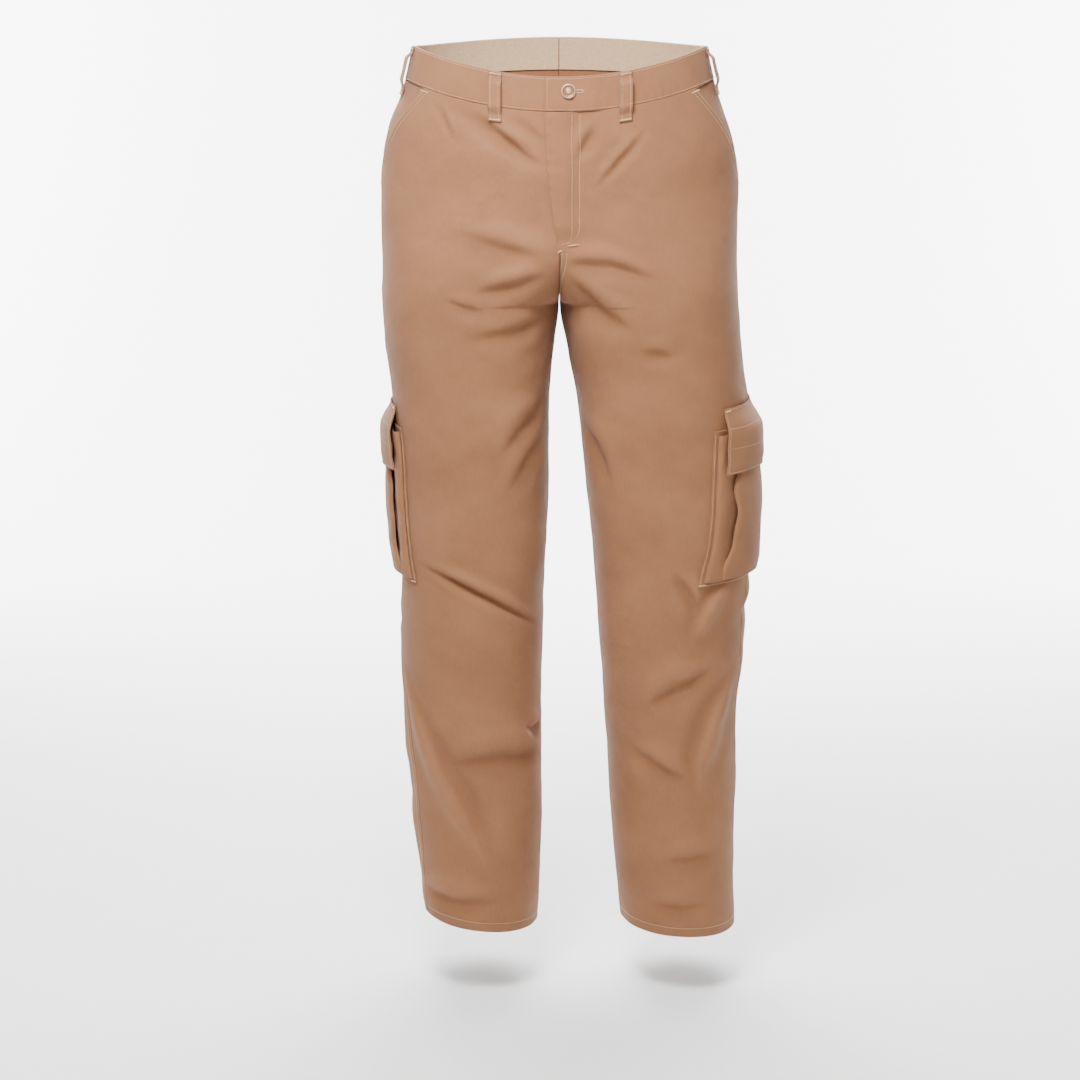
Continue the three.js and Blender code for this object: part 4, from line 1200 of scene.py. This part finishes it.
def cargo_base(side):
    """The pocket's sewn-down edge, flat on the leg."""
    mm = spread(-CARGO["back"] - 4, CARGO["front"] + 4, 3.2)
    drop = spread(CARGO["top"] - 3, CARGO["bottom"] + 3, 3.2)[0][:, None]
    base = cargo_cloth("cargo_base", side, mm, drop, 1.7 + 0 * mm, CLOTH, TWILL)
    settle(base, f"cargo_bellows_{SIDE[side]}")


def cargo_gusset(side):
    """The bellows: a rounded rim round a hollow, which the face lies over."""
    mm = spread(-CARGO["back"] + 1.5, CARGO["front"] - 1.5, 2.4)
    drop = spread(CARGO["top"] + 2, CARGO["bottom"] - 1.5, 2.8)[0][:, None]
    from_side = CARGO_WIDTH / 2 - 1.5 - np.abs(mm - FACE_MIDDLE)
    from_foot = CARGO["bottom"] - 1.5 - drop
    rim = np.sqrt(1 - (1 - np.clip(np.minimum(from_side, from_foot) / 4.5, 0, 1)) ** 2)
    hollow = 3.4 * smooth(from_side, 8, 26) * smooth(from_foot, 6, 26)
    crumple = sway(mm, drop, 51 + side, 0.5, 42) * rim
    out = 3.1 + 4.2 * rim - hollow + crumple
    settle(cargo_cloth("cargo_gusset", side, mm, drop, out, CLOTH, TWILL))


def cargo_face(side):
    """The pocket's outer face: its edges curl in over the pleats and its foot closes down."""
    drops = spread(CARGO["top"], CARGO["bottom"] - 3, 2.8)[0]
    reach = pleat_edge(side, drops)
    mm, drop = spread(FACE_MIDDLE - reach, FACE_MIDDLE + reach, 2.6), drops[:, None]
    from_edge = reach[:, None] - np.abs(mm - FACE_MIDDLE)
    curl = 1 - np.sqrt(1 - (1 - np.clip(from_edge / 4, 0, 1)) ** 2)
    foot = smooth(CARGO["bottom"] - 3 - drop, 0, 16)
    body = sway(mm, drop, 61 + side, 0.55, 60) * smooth(drop, 476, 500) * smooth(from_edge, 0, 20) * foot
    out = cargo_out(mm, drop) - 3.2 * curl - 1.6 * (1 - foot) + body - 0.4
    face = cargo_cloth("cargo_face", side, mm, drop, out, CLOTH, TWILL)
    settle(face, f"cargo_pocket_{SIDE[side]}")


def cargo_flap(side):
    mm = spread(CARGO_FLAP["inset"] - CARGO["back"], CARGO["front"] - CARGO_FLAP["inset"], 2.6)
    drop = spread(CARGO_FLAP["top"], CARGO_FLAP["bottom"], 2.4)[0][:, None]
    out, thick = flap_surface(side, mm, drop), CARGO_FLAP["thick"]
    flap = cargo_cloth("cargo_flap_cloth", side, mm, drop, out, thick, TWILL)
    settle(flap, f"cargo_flap_{SIDE[side]}", body=f"flap_{SIDE[side]}", bend=flap_bend(side))


def cargo_tapes(side):
    """The loop tape on the pocket's face, and the hook tape on the flap over it."""
    name = SIDE[side]
    mm = spread(FACE_MIDDLE - TAPE["half"], FACE_MIDDLE + TAPE["half"], 2.6)
    drop = spread(TAPE["top"], TAPE["bottom"], 2.2)[0][:, None]
    layers = [(1, TAPE_CLOTH, "loop_tape", "root"), (2, HOOKS, "hook_tape", f"flap_{name}")]
    for layer, material, kind, body in layers:
        rise = cargo_out(mm, drop) + layer * (GAP + TAPE["thick"])
        tape = cargo_cloth(f"cargo_{kind}_strip", side, mm, drop, rise, TAPE["thick"], material)
        settle(tape, f"cargo_{kind}_{name}", body=body)


def flap_surface(side, mm, drop):
    """The flap's outer face: it follows the pocket and ripples a little at its free edge."""
    ripple = 0.5 * np.sin(mm / 11 + side) * smooth(drop, 455, CARGO_FLAP["bottom"])
    seams = sum(-0.35 * np.exp(-((drop - at) / 1.4) ** 2) for at in FLAP_ROWS)
    return flap_out(mm, drop) + ripple + seams


def flap_bend(side):
    """Where a flap starts and stops bending when it lifts."""
    x = 0.2 * side
    return (x, 0.0, -0.405), (x, 0.0, -0.436)


def flap_stitches(side):
    front, back = CARGO["front"] - CARGO_FLAP["inset"], CARGO_FLAP["inset"] - CARGO["back"]
    top, bottom = CARGO_FLAP["top"], CARGO_FLAP["bottom"]

    def line(mm, drop):
        mm, drop = dense(mm), dense(drop)
        return row_of_stitches(side, mm, drop + cargo_slant(mm), flap_surface(side, mm, drop) - 0.05)

    lines = [line([back + 2, front - 2], [at, at]) for at in (top + 2, *FLAP_ROWS, bottom - 2)]
    for edge, way in ((front, -1), (back, 1)):
        lines.append(line([edge + 2 * way] * 2, [top + 2, bottom - 2]))
        corner = np.array([edge + way * 1, edge + way * 9])
        rise = float(flap_surface(side, np.array([edge]), np.array([top + 3]))[0])
        lines.append(bartack(side, corner, np.full(2, top + 3) + cargo_slant(corner), rise))
    thread(f"thread_flap_{SIDE[side]}", lines, body=f"flap_{SIDE[side]}", bend=flap_bend(side))


def cargo_stitches(side):
    """Topstitching round the pocket's base, and along its face's folded edges."""
    front, back = CARGO["front"] + 2.2, -CARGO["back"] - 2.2
    top, bottom = CARGO["top"] + 2, CARGO["bottom"] + 1.4
    lines = []
    corners = [(front, top), (front, bottom), (back, bottom), (back, top)]
    for start, end in zip(corners[:-1], corners[1:]):
        mm, drop = dense([start[0], end[0]]), dense([start[1], end[1]])
        lines.append(row_of_stitches(side, mm, drop + cargo_slant(mm), 1.7))
    for mm in (np.array([front - 8, front + 1]), np.array([back + 8, back - 1])):
        lines.append(bartack(side, mm, np.full(2, bottom - 0.5) + cargo_slant(mm), 1.9))
    return lines


# ---- Stitching of the panels and the waistband ----
J_ROWS = (13.0, 21.5)
J_FOOT = -221
HEM_ROW = 11


def mouth_lines(side):
    lines = []
    for inset in (1.8, 7.6):
        drop = np.linspace(SEAM + 2, MOUTH["bottom"] - 3, 120)
        mm = mouth_at(drop) + inset
        lines.append(row_of_stitches(side, mm, drop, front_out(side, mm, drop)))
    top = MOUTH["across"]
    lines.append(bartack(side, [top - 4, top + 9], [SEAM + 3.2, SEAM + 3.2], 0.5))
    lines.append(bartack(side, [2.5, 11], [MOUTH["bottom"] - 6, MOUTH["bottom"] - 2], 0.3))
    return lines


def hem_line(side, face):
    length = float(row_length(side, face, HEM[side][0] - HEM_ROW))
    return row_of_stitches(side, [face * 1.5, face * (length - 1.5)], [HEM[side][0] - HEM_ROW] * 2, 0.0)


def fly_lines():
    """The J-shaped double row beside the fly, its foot and the bartacks."""
    lines = []
    for at in J_ROWS:
        bend = np.linspace(0, np.pi / 2, 30)
        x = np.concatenate([[at] * 30, at - at * 0.9 * (1 - np.cos(bend))])
        z = np.concatenate([np.linspace(BAND_Z - 3, J_FOOT + at, 30), J_FOOT + at - at * 0.92 * np.sin(bend)])
        drop = drop_at(z)
        mm = row_length(1, 1, drop) - x
        lines.append(row_of_stitches(1, mm, drop, left_front_out(mm, drop)))
    for x, z in (((9, 21), (-221.5, -220)), ((-3, 2), (-228.5, -226))):
        drop = drop_at(np.array(z))
        mm = row_length(1, 1, drop) - np.array(x)
        lines.append(bartack(1, mm, drop, 0.9))
    drop = np.linspace(drop_at(-229), FORK - 2, 100)
    lines += [row_of_stitches(1, row_length(1, 1, drop) - at, drop) for at in (2.2, 7.5)]
    return lines


def panel_stitches():
    for side in (1, -1):
        lines = mouth_lines(side) + [hem_line(side, 1)]
        name = f"thread_front_{SIDE[side]}"
        if side > 0:
            thread(name, lines + fly_lines(), body="fly_flap", bend=FLY_BEND)
        else:
            thread(name, lines)
        hem = HEM[side][0]
        drop = np.linspace(MOUTH["bottom"] + 4, hem - 3, 400)
        lines = [hem_line(side, -1)] + [row_of_stitches(side, at + 0 * drop, drop) for at in (-2.2, -8)]
        thread(f"thread_back_{SIDE[side]}", lines + back_pocket_stitches(side) + cargo_stitches(side))
    drop = np.linspace(SEAM + 1.5, FORK - 3, 200)
    rise = [row_of_stitches(1, -row_length(1, -1, drop) + at, drop) for at in (2.2, 8)]
    thread("thread_back_rise", rise)


def band_stitches():
    for side in (1, -1):
        reach = FLY["edge"] - 2.5 if side > 0 else UNDERLAP - 2.5
        lines = []
        for at in (2.4, BAND["height"] - 1.9):
            mm = np.linspace(-row_length(side, -1, at) + 1, row_length(side, 1, at) + reach, 500)
            lines.append(row_of_stitches(side, mm, at + 0 * mm, band_out(side, mm, at + 0 * mm)))
        if side > 0:
            drop = np.linspace(2.4, BAND["height"] - 1.9, 30)
            mm = row_length(1, 1, drop) + reach
            lines.append(row_of_stitches(1, mm, drop, band_out(1, mm, drop)))
            thread("thread_band_left", lines, body="fly_flap", bend=BAND_BEND)
        else:
            thread("thread_band_right", lines)


# ---- Making the trousers ----
for side in (1, -1):
    front_panel(side)
    back_panel(side)
    waistband(side)
    hand_pocket(side)
    back_pocket(side)
    cargo_base(side)
    cargo_gusset(side)
    cargo_face(side)
    cargo_flap(side)
    cargo_tapes(side)
    flap_stitches(side)
    zip_tape(side)
fly_facing()
fly_shield()
zip_metal()
waist_button()
button_shank()
buttonhole()
belt_loops()
panel_stitches()
band_stitches()

# ---- Studio ----
FLOOR_Z = -1.12
STAGE = {"front": -6.0, "back": 4.2, "half": 6.0, "turn": 1.6, "height": 3.6}
SUBJECT = (0.0, 0.0, -0.5)
HIPS = (0.0, 0.0, -0.15)
WALL_LEFT = (-1.6, 4.2, 0.2)
WALL_RIGHT = (1.6, 4.2, 0.2)


def area_light(name, place, size, power, aim=SUBJECT):
    data = bpy.data.lights.new(name, "AREA")
    data.energy = power
    data.size = size
    add_aimed(name, data, place, aim)


def backdrop():
    """A pale floor that turns up into a wall behind."""
    angle = np.linspace(0, np.pi / 2, 24)
    turn = STAGE["turn"]
    y = np.concatenate([[STAGE["front"]], STAGE["back"] - turn + turn * np.sin(angle), [STAGE["back"]]])
    z = np.concatenate([[0], turn * (1 - np.cos(angle)), [STAGE["height"]]]) + FLOOR_Z
    x = np.array([-STAGE["half"], STAGE["half"]])[None, :] + 0 * y[:, None]
    points = np.stack([x, y[:, None] + 0 * x, z[:, None] + 0 * x], -1).reshape(-1, 3)
    faces = quads(np.arange(len(points)).reshape(len(y), 2)).tolist()
    paint = Paint("backdrop")
    grain = paint.noise(paint.solid_places(), 30, 3)
    paint.surface(Base_Color=paint.ramp(grain, [(0.3, grey(0.90)), (0.7, grey(0.92))]), Roughness=0.85)
    add_mesh("backdrop", points / METRE, faces, paint.material)


def studio():
    backdrop()
    area_light("key", (-0.25, -0.98, 0.82), 0.55, 64, HIPS)
    area_light("fill", (2.0, -2.4, 0.6), 1.4, 9)
    area_light("wall_left", (-2.6, 2.4, 0.8), 1.6, 420, WALL_LEFT)
    area_light("wall_right", (2.6, 2.4, 0.8), 1.6, 420, WALL_RIGHT)
    area_light("floor", (0.0, 1.5, 1.8), 2.4, 250, (0.0, 1.5, -1.1))
    world = bpy.data.worlds.new("studio")
    world.use_nodes = True
    background = world.node_tree.nodes["Background"]
    background.inputs["Color"].default_value = (1, 1, 1, 1)
    background.inputs["Strength"].default_value = 0.21
    bpy.context.scene.world = world


studio()
